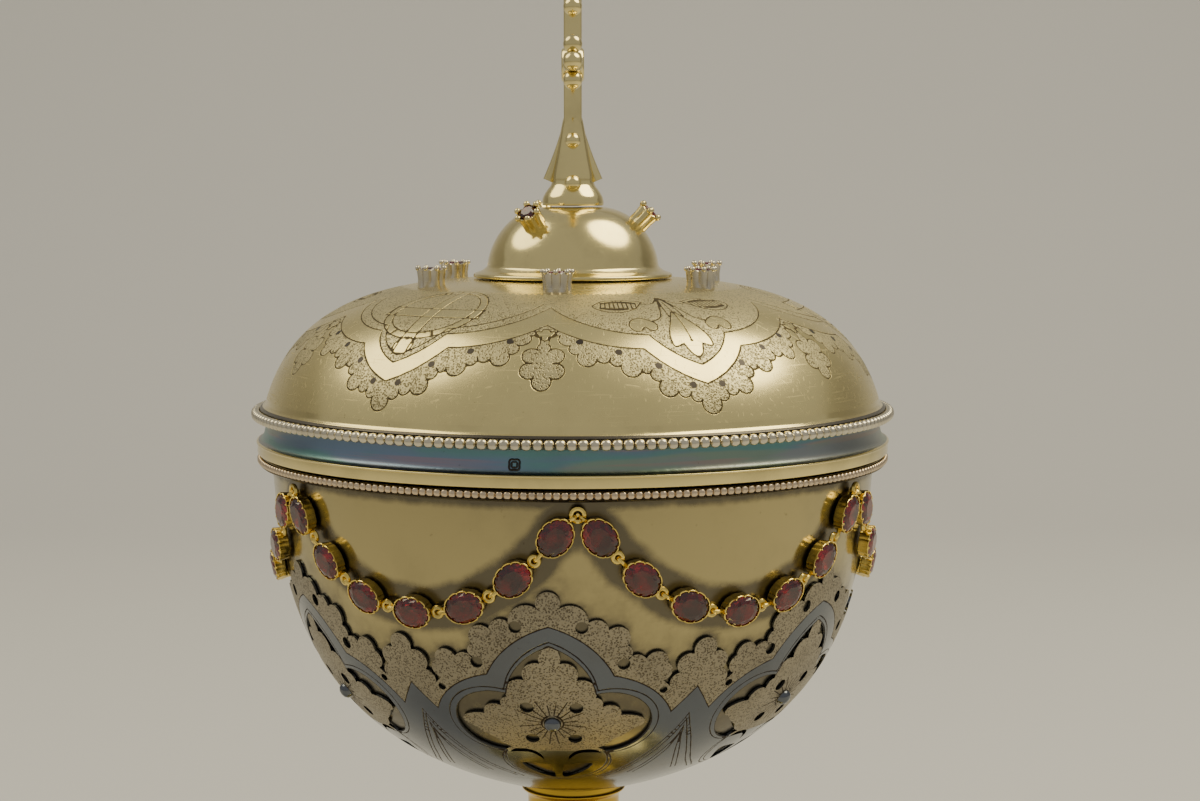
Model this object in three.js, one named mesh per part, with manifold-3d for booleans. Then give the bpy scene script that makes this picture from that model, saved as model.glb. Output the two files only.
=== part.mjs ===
// A silver-gilt ciborium: a covered cup on a stem and foot, with a pierced calyx around the bowl,
// a garland of garnets hung below the rim, and a cross on the lid.
//
// Millimetres and degrees, +Z up. The foot stands on z = 0 and the axis of the vessel is the Z axis.
// The cross shows its edge along X and its two faces along Y.
// Angles are counted from +X, anticlockwise seen from above.
import * as THREE from "three";
import { mergeVertices } from "three/addons/utils/BufferGeometryUtils.js";
import Module from "manifold-3d";

const wasm = await Module();
wasm.setup();

// Clearances between pieces
const touchGap = 0.3;
const lidLift = 0.4;
const flangeClearance = 0.6;
const stoneGap = 0.3;
const calyxStandOff = 0.5;
const garlandStandOff = 0.35;

// Foot
const footHeight = 58;
const footRadius = 57;
const footRimWidth = 3;
const footRimHeight = 3.2;
const footStepRadius = 54.4;
const footWaistRadius = 32;
const footWaistHeight = 16.5;
const footNeckRadius = 7.6;
const footNeckHeight = 50;
const footTopRadius = 9.6;
const footWall = 1.3;

// Knop
const knopHeight = 26;
const knopRadius = 19.5;
const knopNeckRadius = 9;
const knopBandHeight = 4;

// Collar, the upper stem under the bowl
const collarHeight = 26.7;
const collarDrumRadius = 8.7;
const collarDrumHeight = 9;
const collarStemRadius = 6.8;
const collarFlangeRadius = 9.9;
const collarSpigotRadius = 9.2;

// Cup
const bowlDepth = 60.8;
const bowlMouthRadius = 56.2;
const bowlBaseRadius = 9.8;
const bowlWall = 1.3;
const rimProjection = 2.8;
const rimHeight = 2.1;

// Calyx, the pierced sheet around the bowl
const calyxLobes = 6;
const calyxTurn = -4.5;
const calyxSheet = 0.8;

// Garland
const swagCount = 6;
const swagTurn = 0.73;
const swagStones = 7;
const swagLowest = 19.5;
const swagRise = 18.7;
const swagPower = 2.26;
const ringRise = 17.6;
const pitchShare = 0.18007;
const stonePitch = bowlMouthRadius * pitchShare;
const linkGap = 2.52;
const colletLength = stonePitch - linkGap;
const colletWidth = 6;
const colletHeight = 2;
const colletRim = 0.55;
const linkRadius = 0.45;
const ringRadius = 0.9;

// Lid
const lidHeight = 31.7;
const domeRise = 21.7;
const domeInset = 1.8;
const domeTopRadius = 18;
const lidWall = 1.3;
const rollProjection = 1.1;
const rollHeight = 5.2;
const bandInset = 0.1;
const bandHeight = 1.9;
const flangeDepth = 4.5;
const flangeWall = 1.2;
const lidTurn = -5.6;
const lidSettings = 6;
const lidSettingCircle = 28.3;
const lidSettingRadius = 3.05;
const lidSettingHeight = 3.1;
const lidStoneRadius = 2.5;

// Lid boss
const bossHeight = 13;
const bossFlangeRadius = 18.6;
const bossRadius = 16;
const bossTopRadius = 5.9;
const bossWall = 1.1;
const bossSettings = 3;
const bossTurn = -35;
const bossSettingShare = 0.45;
const bossSettingRadius = 2.5;
const bossSettingHeight = 3.2;
const bossStoneRadius = 2;

// Cross finial
const crossHeight = 41.3;
const crossBaseRadius = 5.8;
const crossConeHeight = 16.6;
const crossSpan = 31;
const crossCentre = 26;
const crossThickness = 3.4;
const crossBarWidth = 3.4;
const crossBud = 1.75;

// Facets
const bowlSteps = 6;
const roundSides = 24;
const stemSides = 16;
const bossSides = 18;
const stoneSides = 8;

const degree = Math.PI / 180;

// Heights of the pieces above the table, each resting on the one below
const knopBase = footHeight + touchGap;
const collarBase = knopBase + knopHeight + touchGap;
const cupBase = collarBase + collarHeight + touchGap;
const mouthHeight = cupBase + bowlDepth;
const cupTop = mouthHeight + rimHeight;
const lidBase = cupTop + lidLift;
const lidTop = lidBase + lidHeight;
const bossBase = lidTop + touchGap;
const bossTop = bossBase + bossHeight;
const crossBase = bossTop + touchGap;

// The rim stands out from the bowl, and the lid's band, roll and dome follow the rim
const rimRadius = bowlMouthRadius + rimProjection;
const bandRadius = rimRadius - bandInset;
const rollRadius = bandRadius + rollProjection;
const domeRadius = bandRadius - domeInset;

const gilt = { color: 0xd2c088, roughness: 0.24, metalness: 1 };
const deepGilt = { color: 0xd9a637, roughness: 0.26, metalness: 1 };
const silverGilt = { color: 0xa9a593, roughness: 0.42, metalness: 1 };
const garnet = { color: 0x5e0a14, roughness: 0.08, metalness: 0 };

// Joining, cutting and turning

function cleaned(geometry) {
  const bare = geometry.index ? geometry.toNonIndexed() : geometry;
  bare.deleteAttribute("normal");
  bare.deleteAttribute("uv");
  const merged = mergeVertices(bare, 1e-4);
  const corners = merged.index.array;
  const kept = [];
  for (let i = 0; i < corners.length; i += 3) {
    const [a, b, c] = [corners[i], corners[i + 1], corners[i + 2]];
    if (a !== b && b !== c && c !== a) {
      kept.push(a, b, c);
    }
  }
  merged.setIndex(kept);
  return volumeOf(merged) < 0 ? turnedInsideOut(merged) : merged;
}

function volumeOf(geometry) {
  const place = geometry.attributes.position;
  const corners = geometry.index.array;
  const [a, b, c] = [new THREE.Vector3(), new THREE.Vector3(), new THREE.Vector3()];
  let sum = 0;
  for (let i = 0; i < corners.length; i += 3) {
    a.fromBufferAttribute(place, corners[i]);
    b.fromBufferAttribute(place, corners[i + 1]);
    c.fromBufferAttribute(place, corners[i + 2]);
    sum += a.dot(b.cross(c)) / 6;
  }
  return sum;
}

function turnedInsideOut(geometry) {
  const corners = Array.from(geometry.index.array);
  for (let i = 0; i < corners.length; i += 3) {
    [corners[i], corners[i + 1]] = [corners[i + 1], corners[i]];
  }
  geometry.setIndex(corners);
  return geometry;
}

function solid(geometry) {
  const clean = cleaned(geometry);
  return new wasm.Manifold(new wasm.Mesh({
    numProp: 3,
    vertProperties: new Float32Array(clean.attributes.position.array),
    triVerts: new Uint32Array(clean.index.array)
  }));
}

function geometryOf(body) {
  const mesh = body.getMesh();
  const geometry = new THREE.BufferGeometry();
  geometry.setAttribute("position", new THREE.BufferAttribute(new Float32Array(mesh.vertProperties), 3));
  geometry.setIndex(Array.from(mesh.triVerts));
  return geometry;
}

function joined(geometries) {
  return geometries.map(solid).reduce((whole, piece) => whole.add(piece));
}

// A profile of [radius, height] corners turned around the Z axis.
function turned(profile, sides) {
  const corners = profile.map(([radius, height]) => new THREE.Vector2(radius, height));
  return cleaned(new THREE.LatheGeometry(corners, sides).rotateX(Math.PI / 2));
}

function curvePoints(curve, count) {
  const points = [];
  for (let i = 0; i <= count; i += 1) {
    const point = curve.getPointAt(i / count);
    points.push([point.x, point.y]);
  }
  return points;
}

// Points beside a curve that runs downwards and outwards, or downwards and inwards.
function offsetPoints(curve, count, distance) {
  const points = [];
  for (let i = 0; i <= count; i += 1) {
    const point = curve.getPointAt(i / count);
    const along = curve.getTangentAt(i / count);
    points.push([point.x - along.y * distance, point.y + along.x * distance]);
  }
  return points;
}

function bezier(start, first, second, end) {
  const corners = [start, first, second, end].map(([radius, height]) => new THREE.Vector2(radius, height));
  return new THREE.CubicBezierCurve(...corners);
}

function named(name, geometry, look) {
  const mesh = new THREE.Mesh(geometry, new THREE.MeshStandardMaterial(look));
  mesh.name = name;
  return mesh;
}

// Stones and settings

// A profile turned so that flat sides face along X and Y, at the profile's own radii.
function flatSided(profile) {
  const halfSide = Math.PI / stoneSides;
  const grow = 1 / Math.cos(halfSide);
  return turned(profile, stoneSides).rotateZ(halfSide).scale(grow, grow, 1);
}

// A cone-seated collet that stands on z = 0 and opens upwards, oval where its two radii differ.
function collet(topX, topY, height, seatDepth, baseShare) {
  const profile = [[0, 0], [baseShare, 0], [1, height], [0, height - seatDepth]];
  return flatSided(profile).scale(topX, topY, 1);
}

// A faceted stone whose girdle lies on z = 0, above a cone that follows the seat.
function stone(girdleX, girdleY, crown, pavilion) {
  const tableShare = 0.66;
  const profile = [[0, -pavilion], [1, 0], [tableShare, crown], [0, crown]];
  return flatSided(profile).scale(girdleX, girdleY, 1);
}

// Seat and stone of one setting, from the collet's radii and the rim left around the stone.
function settingSizes(topX, topY, height, rim) {
  const seatDepth = height * 0.75;
  const small = Math.min(topX, topY);
  const slope = seatDepth / small;
  const lift = stoneGap * Math.hypot(1, slope);
  const share = (small - rim) / small;
  return {
    seatDepth,
    girdleX: topX * share,
    girdleY: topY * share,
    girdleHeight: height - seatDepth * (1 - share) + lift,
    pavilion: seatDepth * share,
    crown: height * 0.37
  };
}

// A matrix that sets a piece on a surface point, its x along the first direction and z along the normal.
function placeOn(point, along, normal) {
  const z = normal.clone().normalize();
  const x = along.clone().addScaledVector(z, -along.dot(z)).normalize();
  const y = new THREE.Vector3().crossVectors(z, x);
  return new THREE.Matrix4().makeBasis(x, y, z).setPosition(point);
}

function raised(matrix, height) {
  return matrix.clone().multiply(new THREE.Matrix4().makeTranslation(0, 0, height));
}

function placedStone(name, geometry, matrix) {
  const mesh = named(name, geometry, garnet);
  mesh.applyMatrix4(matrix);
  return mesh;
}

// Foot: a stepped rim, a low dome and a hollow trumpet that rises to the neck
const footDome = bezier(
  [footWaistRadius, footWaistHeight],
  [footWaistRadius + (footStepRadius - footWaistRadius) * 0.45, footWaistHeight],
  [footStepRadius - 1, footRimHeight + (footWaistHeight - footRimHeight) * 0.62],
  [footStepRadius, footRimHeight + 1]
);
const footTrumpet = bezier(
  [footNeckRadius, footNeckHeight],
  [footNeckRadius, footWaistHeight + (footNeckHeight - footWaistHeight) * 0.5],
  [footNeckRadius + (footWaistRadius - footNeckRadius) * 0.3, footWaistHeight + 1.5],
  [footWaistRadius - 2, footWaistHeight + 1.5]
);

function footSolid() {
  const innerRadius = footRadius - footRimWidth;
  const trumpetInside = offsetPoints(footTrumpet, 3, -footWall).reverse();
  const domeInside = offsetPoints(footDome, 2, -footWall).reverse();
  return turned([
    [0, footHeight],
    [footTopRadius, footHeight],
    [footTopRadius + 1.2, footHeight - 3],
    [footTopRadius, footHeight - 6],
    ...curvePoints(footTrumpet, 4),
    ...curvePoints(footDome, 3),
    [footStepRadius, footRimHeight],
    [footRadius, footRimHeight],
    [footRadius, 0],
    [innerRadius, 0],
    ...domeInside,
    ...trumpetInside.slice(0, -1),
    [0, footNeckHeight - 6]
  ], roundSides);
}

// Knop: two turned halves that meet at a narrow band
function knopSolid() {
  const middle = knopHeight / 2;
  const band = knopBandHeight / 2;
  const half = [
    [knopNeckRadius, 0],
    [knopNeckRadius + 1, 1.4],
    [knopNeckRadius, 2.8],
    [knopNeckRadius + (knopRadius - knopNeckRadius) * 0.65, middle - band - knopHeight * 0.19]
  ];
  const lower = [...half, [knopRadius, middle - band]];
  const upper = lower.map(([radius, height]) => [radius, knopHeight - height]).reverse();
  return turned([[0, 0], ...lower, ...upper, [0, knopHeight]], stemSides);
}

// Collar: the slim stem, the drum under the bowl and the spigot that the bowl's base rests on
function collarSolid() {
  const flangeHeight = collarHeight - calyxStandOff - calyxSheet - touchGap;
  const drumTop = flangeHeight - 1.2;
  const drumBase = drumTop - collarDrumHeight;
  return turned([
    [0, 0],
    [knopNeckRadius, 0],
    [knopNeckRadius + 1, 1.2],
    [knopNeckRadius, 2.4],
    [collarStemRadius, 4],
    [collarStemRadius, drumBase - 2.5],
    [collarDrumRadius + 0.9, drumBase - 1],
    [collarDrumRadius, drumBase],
    [collarDrumRadius, drumTop],
    [collarFlangeRadius, flangeHeight],
    [collarSpigotRadius, flangeHeight],
    [collarSpigotRadius, collarHeight],
    [0, collarHeight]
  ], stemSides);
}

// Cup: the bowl's outside runs from its mouth down to its base
const bowlCurve = bezier(
  [bowlMouthRadius, mouthHeight],
  [bowlMouthRadius * 0.961, mouthHeight - bowlDepth * 0.583],
  [bowlMouthRadius * 0.752, mouthHeight - bowlDepth * 0.856],
  [bowlBaseRadius, cupBase]
);
const bowlLength = bowlCurve.getLength();

function cupSolid() {
  const outside = curvePoints(bowlCurve, bowlSteps).reverse();
  const inside = offsetPoints(bowlCurve, bowlSteps - 2, -bowlWall);
  return turned([
    [0, cupBase],
    ...outside,
    [rimRadius - 0.9, mouthHeight + 0.3],
    [rimRadius, mouthHeight + 0.9],
    [rimRadius, cupTop - 0.2],
    [rimRadius - 0.6, cupTop],
    [bowlMouthRadius - bowlWall, cupTop],
    ...inside,
    [0, cupBase + bowlWall]
  ], roundSides);
}

// A place on the bowl's wall: an angle, a length down the wall from the mouth and a height off it.
function onBowl(angle, length, height) {
  const share = THREE.MathUtils.clamp(length / bowlLength, 0, 1);
  const point = bowlCurve.getPointAt(share);
  const along = bowlCurve.getTangentAt(share);
  const radius = point.x - along.y * height;
  const level = point.y + along.x * height;
  const [cos, sin] = [Math.cos(angle * degree), Math.sin(angle * degree)];
  return {
    point: new THREE.Vector3(radius * cos, radius * sin, level),
    normal: new THREE.Vector3(-along.y * cos, -along.y * sin, along.x),
    east: new THREE.Vector3(-sin, cos, 0),
    down: new THREE.Vector3(along.x * cos, along.x * sin, along.y)
  };
}

// Calyx: one lobe's half is drawn flat, in degrees from the lobe's middle and in units of depth down
// the bowl's wall, then bent onto the bowl.
const wallUnitCount = 87;
const wallUnit = bowlLength / wallUnitCount;

// The crest's notches, as angle and depth, and the rise of the leaf bud that runs from each to the next
const crest = [
  { notch: [-1.95, 18.2], rise: 3 },
  { notch: [1.95, 18.2], rise: 1.7 },
  { notch: [7.2, 20.7], rise: 1.1 },
  { notch: [10.9, 22.1], rise: 2 },
  { notch: [14.4, 25], rise: 1 },
  { notch: [14.4, 28], rise: 1 },
  { notch: [18.2, 27.7], rise: 1.8 },
  { notch: [22.6, 28.8], rise: 1.2 },
  { notch: [22.2, 32.3], rise: 0 },
  { notch: [23.8, 33.6], rise: 0.7 },
  { notch: [25.4, 31], rise: 1.7 },
  { notch: [27.8, 27.4], rise: 2.9 },
  { notch: [32.2, 27.4], rise: 0 }
];
// Openings of the quatrefoil
const calyxOpenings = [
  [[2, 28.2], [5.2, 30.4], [7.4, 34.2], [3.4, 31.2]],
  [[10.4, 37], [14.2, 37], [17.4, 40.6], [13.2, 39]],
  [[18.9, 42.8], [16.8, 46.6], [10.4, 48.7], [14, 45.4]],
  [[1.6, 54.2], [9.2, 54.2], [1.6, 60.6]]
];

// How many units wide a degree is at that depth.
function degreeWidth(depth) {
  return (onBowl(0, depth * wallUnit, 0).point.x * degree) / wallUnit;
}

// One bud: an arc of a circle over the line between two notches, without its last point.
function budPoints([fromAngle, fromDepth], [toAngle, toDepth], rise) {
  const width = degreeWidth((fromDepth + toDepth) / 2);
  const from = new THREE.Vector2(fromAngle * width, fromDepth);
  const to = new THREE.Vector2(toAngle * width, toDepth);
  if (rise === 0) {
    return [[fromAngle, fromDepth]];
  }
  const halfChord = from.distanceTo(to) / 2;
  const radius = (halfChord ** 2 + rise ** 2) / (2 * rise);
  const middle = from.clone().add(to).multiplyScalar(0.5);
  const across = to.clone().sub(from).normalize();
  const centre = middle.clone().add(new THREE.Vector2(-across.y, across.x).multiplyScalar(radius - rise));
  const start = from.clone().sub(centre).angle();
  const sweep = 4 * Math.atan2(rise, halfChord);
  const steps = rise < 1.3 ? 2 : Math.ceil(rise) + 1;
  const points = [];
  for (let i = 0; i < steps; i += 1) {
    const turn = start + (sweep * i) / steps;
    points.push([(centre.x + radius * Math.cos(turn)) / width, centre.y + radius * Math.sin(turn)]);
  }
  return points;
}

function mirroredPoints(points) {
  return points.map(([angle, depth]) => [-angle, depth]).reverse();
}

function flatPrism(points) {
  const outline = new THREE.Shape(points.map(([angle, depth]) => new THREE.Vector2(angle, depth)));
  return solid(new THREE.ExtrudeGeometry(outline, { depth: 1, bevelEnabled: false }));
}

function flatLobe() {
  const half = 180 / calyxLobes;
  const drawnHalf = 30;
  const spreadOut = (points) => points.map(([angle, depth]) => [(angle * half) / drawnHalf, depth]);
  const arcs = crest.slice(0, -1).flatMap(({ notch, rise }, i) => budPoints(notch, crest[i + 1].notch, rise));
  const side = arcs.filter(([angle]) => angle > -1e-6 && angle < drawnHalf + 1e-6);
  const right = spreadOut(side);
  const openings = calyxOpenings.map(spreadOut);
  const outline = [...mirroredPoints(right), ...right.slice(1), [half, wallUnitCount], [-half, wallUnitCount]];
  const holes = [...openings, ...openings.map(mirroredPoints)];
  return holes.reduce((sheet, hole) => sheet.subtract(flatPrism(hole)), flatPrism(outline));
}

// The flat lobe's upper face, cut into cells that bend as the bowl's own facets do down its wall.
function lobeTriangles() {
  const sheet = flatLobe();
  const half = 180 / calyxLobes;
  const columns = 4;
  const levels = Array.from({ length: bowlSteps + 1 }, (_, i) => (wallUnitCount * i) / bowlSteps);
  const triangles = [];
  for (let column = 0; column < columns; column += 1) {
    const [left, right] = [column, column + 1].map((i) => -half + (2 * half * i) / columns);
    for (let row = 0; row + 1 < levels.length; row += 1) {
      const [top, bottom] = [levels[row], levels[row + 1]];
      const cell = flatPrism([[left, top], [right, top], [right, bottom], [left, bottom]]);
      const piece = geometryOf(sheet.intersect(cell));
      const place = piece.attributes.position;
      const corners = piece.index.array;
      for (let i = 0; i < corners.length; i += 3) {
        const triangle = [corners[i], corners[i + 1], corners[i + 2]];
        if (triangle.every((corner) => place.getZ(corner) > 0.999)) {
          triangles.push(triangle.map((corner) => [place.getX(corner), place.getY(corner)]));
        }
      }
    }
  }
  return triangles;
}

function calyxSolid() {
  const keys = new Map();
  const places = [];
  const cornerOf = (angle, depth) => {
    const around = ((angle % 360) + 360) % 360;
    const key = `${Math.round(around * 500) % 180000}:${Math.round(depth * 500)}`;
    if (!keys.has(key)) {
      keys.set(key, places.length);
      places.push([around, depth]);
    }
    return keys.get(key);
  };
  const lobe = lobeTriangles();
  const faces = [];
  for (let i = 0; i < calyxLobes; i += 1) {
    for (const triangle of lobe) {
      const turn = calyxTurn + (360 / calyxLobes) * i;
      const face = triangle.map(([angle, depth]) => cornerOf(angle + turn, depth));
      if (new Set(face).size === 3) {
        faces.push(face);
      }
    }
  }
  const edges = new Map();
  for (const [a, b, c] of faces) {
    for (const [from, to] of [[a, b], [b, c], [c, a]]) {
      edges.set(`${from}:${to}`, [from, to]);
    }
  }
  const count = places.length;
  const corners = [];
  for (const [a, b, c] of faces) {
    corners.push(a, b, c, count + c, count + b, count + a);
  }
  for (const [from, to] of edges.values()) {
    if (!edges.has(`${to}:${from}`)) {
      corners.push(to, from, count + from, to, count + from, count + to);
    }
  }
  const position = [];
  for (const height of [calyxStandOff, calyxStandOff + calyxSheet]) {
    for (const [angle, depth] of places) {
      position.push(...onBowl(angle, depth * wallUnit, height).point.toArray());
    }
  }
  const geometry = new THREE.BufferGeometry();
  geometry.setAttribute("position", new THREE.Float32BufferAttribute(position, 3));
  geometry.setIndex(corners);
  return volumeOf(geometry) < 0 ? turnedInsideOut(geometry) : geometry;
}

// Garland: the swag's curve is a power of the angle from its lowest stone
const swagHalf = 180 / swagCount;

function swagDepth(turn) {
  return swagLowest - swagRise * (Math.abs(turn) / swagHalf) ** swagPower;
}

// Angles from the lowest stone at which the stones of half a swag sit, a pitch apart along the curve.
function stoneTurns() {
  const step = 0.02;
  const turns = [0];
  const reach = (swagStones - 1) / 2;
  let travelled = 0;
  let turn = 0;
  while (turns.length <= reach && turn < swagHalf) {
    const here = onBowl(turn, swagDepth(turn), garlandStandOff + colletHeight / 2).point;
    const next = onBowl(turn + step, swagDepth(turn + step), garlandStandOff + colletHeight / 2).point;
    travelled += here.distanceTo(next);
    turn += step;
    if (travelled >= stonePitch * turns.length) {
      turns.push(turn);
    }
  }
  return turns;
}

function swagPlaces() {
  const half = stoneTurns();
  const turns = [...half.slice(1).map((turn) => -turn).reverse(), ...half];
  const step = 0.5;
  return turns.map((turn) => ({ turn, rise: swagDepth(turn + step) - swagDepth(turn - step), step }));
}

const garnetSetting = settingSizes(colletLength / 2, colletWidth / 2, colletHeight, colletRim);

function colletMatrix(middle, { turn, rise, step }) {
  const spot = onBowl(middle + turn, swagDepth(turn), garlandStandOff);
  const width = Math.hypot(spot.point.x, spot.point.y) * 2 * step * degree;
  const along = spot.east.clone().multiplyScalar(width).addScaledVector(spot.down, rise);
  return placeOn(spot.point, along, spot.normal);
}

function bar(from, to, radius) {
  const along = new THREE.Vector3().subVectors(to, from);
  const geometry = new THREE.CylinderGeometry(radius, radius, along.length(), 3);
  const turn = new THREE.Quaternion().setFromUnitVectors(new THREE.Vector3(0, 1, 0), along.clone().normalize());
  const middle = new THREE.Vector3().addVectors(from, to).multiplyScalar(0.5);
  return geometry.applyQuaternion(turn).translate(middle.x, middle.y, middle.z);
}

// A link between two collets starts and ends inside their walls.
function link(first, second) {
  const level = colletHeight * 0.45;
  const edge = (colletLength / 2) * 0.76;
  const from = new THREE.Vector3(edge, 0, level).applyMatrix4(first);
  const to = new THREE.Vector3(-edge, 0, level).applyMatrix4(second);
  return bar(from, to, linkRadius);
}

function garlandSolid(swags) {
  const seat = garnetSetting.seatDepth;
  const ringLevel = garlandStandOff + linkRadius + 0.1;
  const pieces = [];
  swags.forEach((swag, index) => {
    const previous = swags[(index + swagCount - 1) % swagCount];
    for (const matrix of swag) {
      const shape = collet(colletLength / 2, colletWidth / 2, colletHeight, seat, 0.9);
      pieces.push(shape.applyMatrix4(matrix));
    }
    for (let i = 0; i + 1 < swag.length; i += 1) {
      pieces.push(link(swag[i], swag[i + 1]));
    }
    const angle = swagTurn + (360 / swagCount) * index;
    const spot = onBowl(angle, swagLowest - ringRise, ringLevel);
    const ring = new THREE.TorusGeometry(ringRadius, linkRadius, 3, 6);
    pieces.push(ring.applyMatrix4(placeOn(spot.point, spot.east, spot.normal)));
    const edge = (colletLength / 2) * 0.76;
    const level = colletHeight * 0.45;
    const ends = [
      new THREE.Vector3(-edge, 0, level).applyMatrix4(swag[0]),
      new THREE.Vector3(edge, 0, level).applyMatrix4(previous[previous.length - 1])
    ];
    for (const end of ends) {
      const towards = new THREE.Vector3().subVectors(end, spot.point).normalize();
      pieces.push(bar(spot.point.clone().addScaledVector(towards, ringRadius), end, linkRadius));
    }
  });
  return geometryOf(joined(pieces));
}

function garlandMeshes() {
  const places = swagPlaces();
  const swags = [];
  for (let i = 0; i < swagCount; i += 1) {
    const middle = swagTurn + (360 / swagCount) * (i + 0.5);
    swags.push(places.map((place) => colletMatrix(middle, place)));
  }
  const { girdleX, girdleY, crown, pavilion, girdleHeight } = garnetSetting;
  const stones = swags.flatMap((swag, i) => swag.map((matrix, j) => {
    const name = `garland_garnet_${i + 1}_${j + 1}`;
    return placedStone(name, stone(girdleX, girdleY, crown, pavilion), raised(matrix, girdleHeight));
  }));
  return [named("garland", garlandSolid(swags), deepGilt), ...stones];
}

// Lid: a roll above the band, a flange that enters the cup and a dome of one wall
const rollMiddle = lidBase + bandHeight + rollHeight;
const domeFoot = lidTop - domeRise;
const domeCurve = bezier(
  [domeTopRadius, lidTop],
  [domeTopRadius + (domeRadius - domeTopRadius) * 0.59, lidTop - domeRise * 0.025],
  [domeRadius - (domeRadius - domeTopRadius) * 0.11, domeFoot + domeRise * 0.642],
  [domeRadius, domeFoot]
);

const lidSetting = settingSizes(lidSettingRadius, lidSettingRadius, lidSettingHeight, lidSettingRadius - lidStoneRadius);

// The dome's height at a radius, found by halving along its curve.
function domeAt(radius) {
  let [low, high] = [0, 1];
  for (let i = 0; i < 30; i += 1) {
    const middle = (low + high) / 2;
    if (domeCurve.getPointAt(middle).x < radius) {
      low = middle;
    } else {
      high = middle;
    }
  }
  return domeCurve.getPointAt(low).y;
}

function lidShell() {
  const flangeRadius = bowlMouthRadius - bowlWall - flangeClearance;
  const bandTop = lidBase + bandHeight;
  return turned([
    [0, lidTop],
    ...curvePoints(domeCurve, 7),
    [rollRadius - 1, rollMiddle + 1.8],
    [rollRadius, rollMiddle],
    [rollRadius - 1, rollMiddle - 1.8],
    [rollRadius - 2.6, rollMiddle - 3.4],
    [bandRadius, bandTop],
    [bandRadius, lidBase],
    [flangeRadius, lidBase],
    [flangeRadius, lidBase - flangeDepth],
    [flangeRadius - flangeWall, lidBase - flangeDepth],
    [flangeRadius - flangeWall, rollMiddle - 1.5],
    ...offsetPoints(domeCurve, 4, -lidWall).reverse(),
    [0, lidTop - lidWall]
  ], roundSides);
}

function lidMeshes() {
  const sink = 0.7;
  const places = [];
  for (let i = 0; i < lidSettings; i += 1) {
    const angle = (lidTurn + (360 / lidSettings) * i) * degree;
    const [x, y] = [lidSettingCircle * Math.cos(angle), lidSettingCircle * Math.sin(angle)];
    const foot = new THREE.Vector3(x, y, domeAt(lidSettingCircle) - sink);
    places.push(placeOn(foot, new THREE.Vector3(x, y, 0), new THREE.Vector3(0, 0, 1)));
  }
  const { seatDepth, girdleX, girdleY, crown, pavilion, girdleHeight } = lidSetting;
  const settings = places.map((matrix) => {
    const height = lidSettingHeight + sink;
    return collet(lidSettingRadius, lidSettingRadius, height, seatDepth, 0.8).applyMatrix4(matrix);
  });
  const stones = places.map((matrix, i) => {
    const place = raised(matrix, girdleHeight + sink);
    return placedStone(`lid_garnet_${i + 1}`, stone(girdleX, girdleY, crown, pavilion), place);
  });
  return [named("lid", geometryOf(joined([lidShell(), ...settings])), gilt), ...stones];
}

// Lid boss: a small hollow dome with a flared foot
const bossCurve = bezier(
  [bossTopRadius, bossTop],
  [bossTopRadius + (bossRadius - bossTopRadius) * 0.67, bossTop - bossHeight * 0.062],
  [bossRadius - 0.3, bossTop - bossHeight * 0.556],
  [bossRadius, bossTop - bossHeight * 0.82]
);

function bossShell() {
  return turned([
    [0, bossTop],
    ...curvePoints(bossCurve, 5),
    [bossRadius + 0.7, bossBase + 1.3],
    [bossFlangeRadius, bossBase + 0.6],
    [bossFlangeRadius, bossBase],
    [bossRadius - bossWall, bossBase],
    ...offsetPoints(bossCurve, 3, -bossWall).reverse(),
    [0, bossTop - bossWall]
  ], bossSides);
}

function bossMeshes() {
  const sink = 0.6;
  const rim = bossSettingRadius - bossStoneRadius;
  const sizes = settingSizes(bossSettingRadius, bossSettingRadius, bossSettingHeight, rim);
  const spot = bossCurve.getPointAt(bossSettingShare);
  const along = bossCurve.getTangentAt(bossSettingShare);
  const settings = [];
  const stones = [];
  for (let i = 0; i < bossSettings; i += 1) {
    const angle = (bossTurn + (360 / bossSettings) * i) * degree;
    const [cos, sin] = [Math.cos(angle), Math.sin(angle)];
    const normal = new THREE.Vector3(-along.y * cos, -along.y * sin, along.x);
    const foot = new THREE.Vector3(spot.x * cos, spot.x * sin, spot.y).addScaledVector(normal, -sink);
    const matrix = placeOn(foot, new THREE.Vector3(-sin, cos, 0), normal);
    const height = bossSettingHeight + sink;
    const shape = collet(bossSettingRadius, bossSettingRadius, height, sizes.seatDepth, 0.8);
    settings.push(shape.applyMatrix4(matrix));
    const gem = stone(sizes.girdleX, sizes.girdleY, sizes.crown, sizes.pavilion);
    stones.push(placedStone(`boss_garnet_${i + 1}`, gem, raised(matrix, sizes.girdleHeight + sink)));
  }
  return [named("lid_boss", geometryOf(joined([bossShell(), ...settings])), gilt), ...stones];
}

// Cross finial: a bell and a leafed cone, then a cross with three buds at each free end
function bud(radius, x, y, z, detail) {
  return new THREE.OctahedronGeometry(radius, detail).translate(x, y, z);
}

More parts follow.
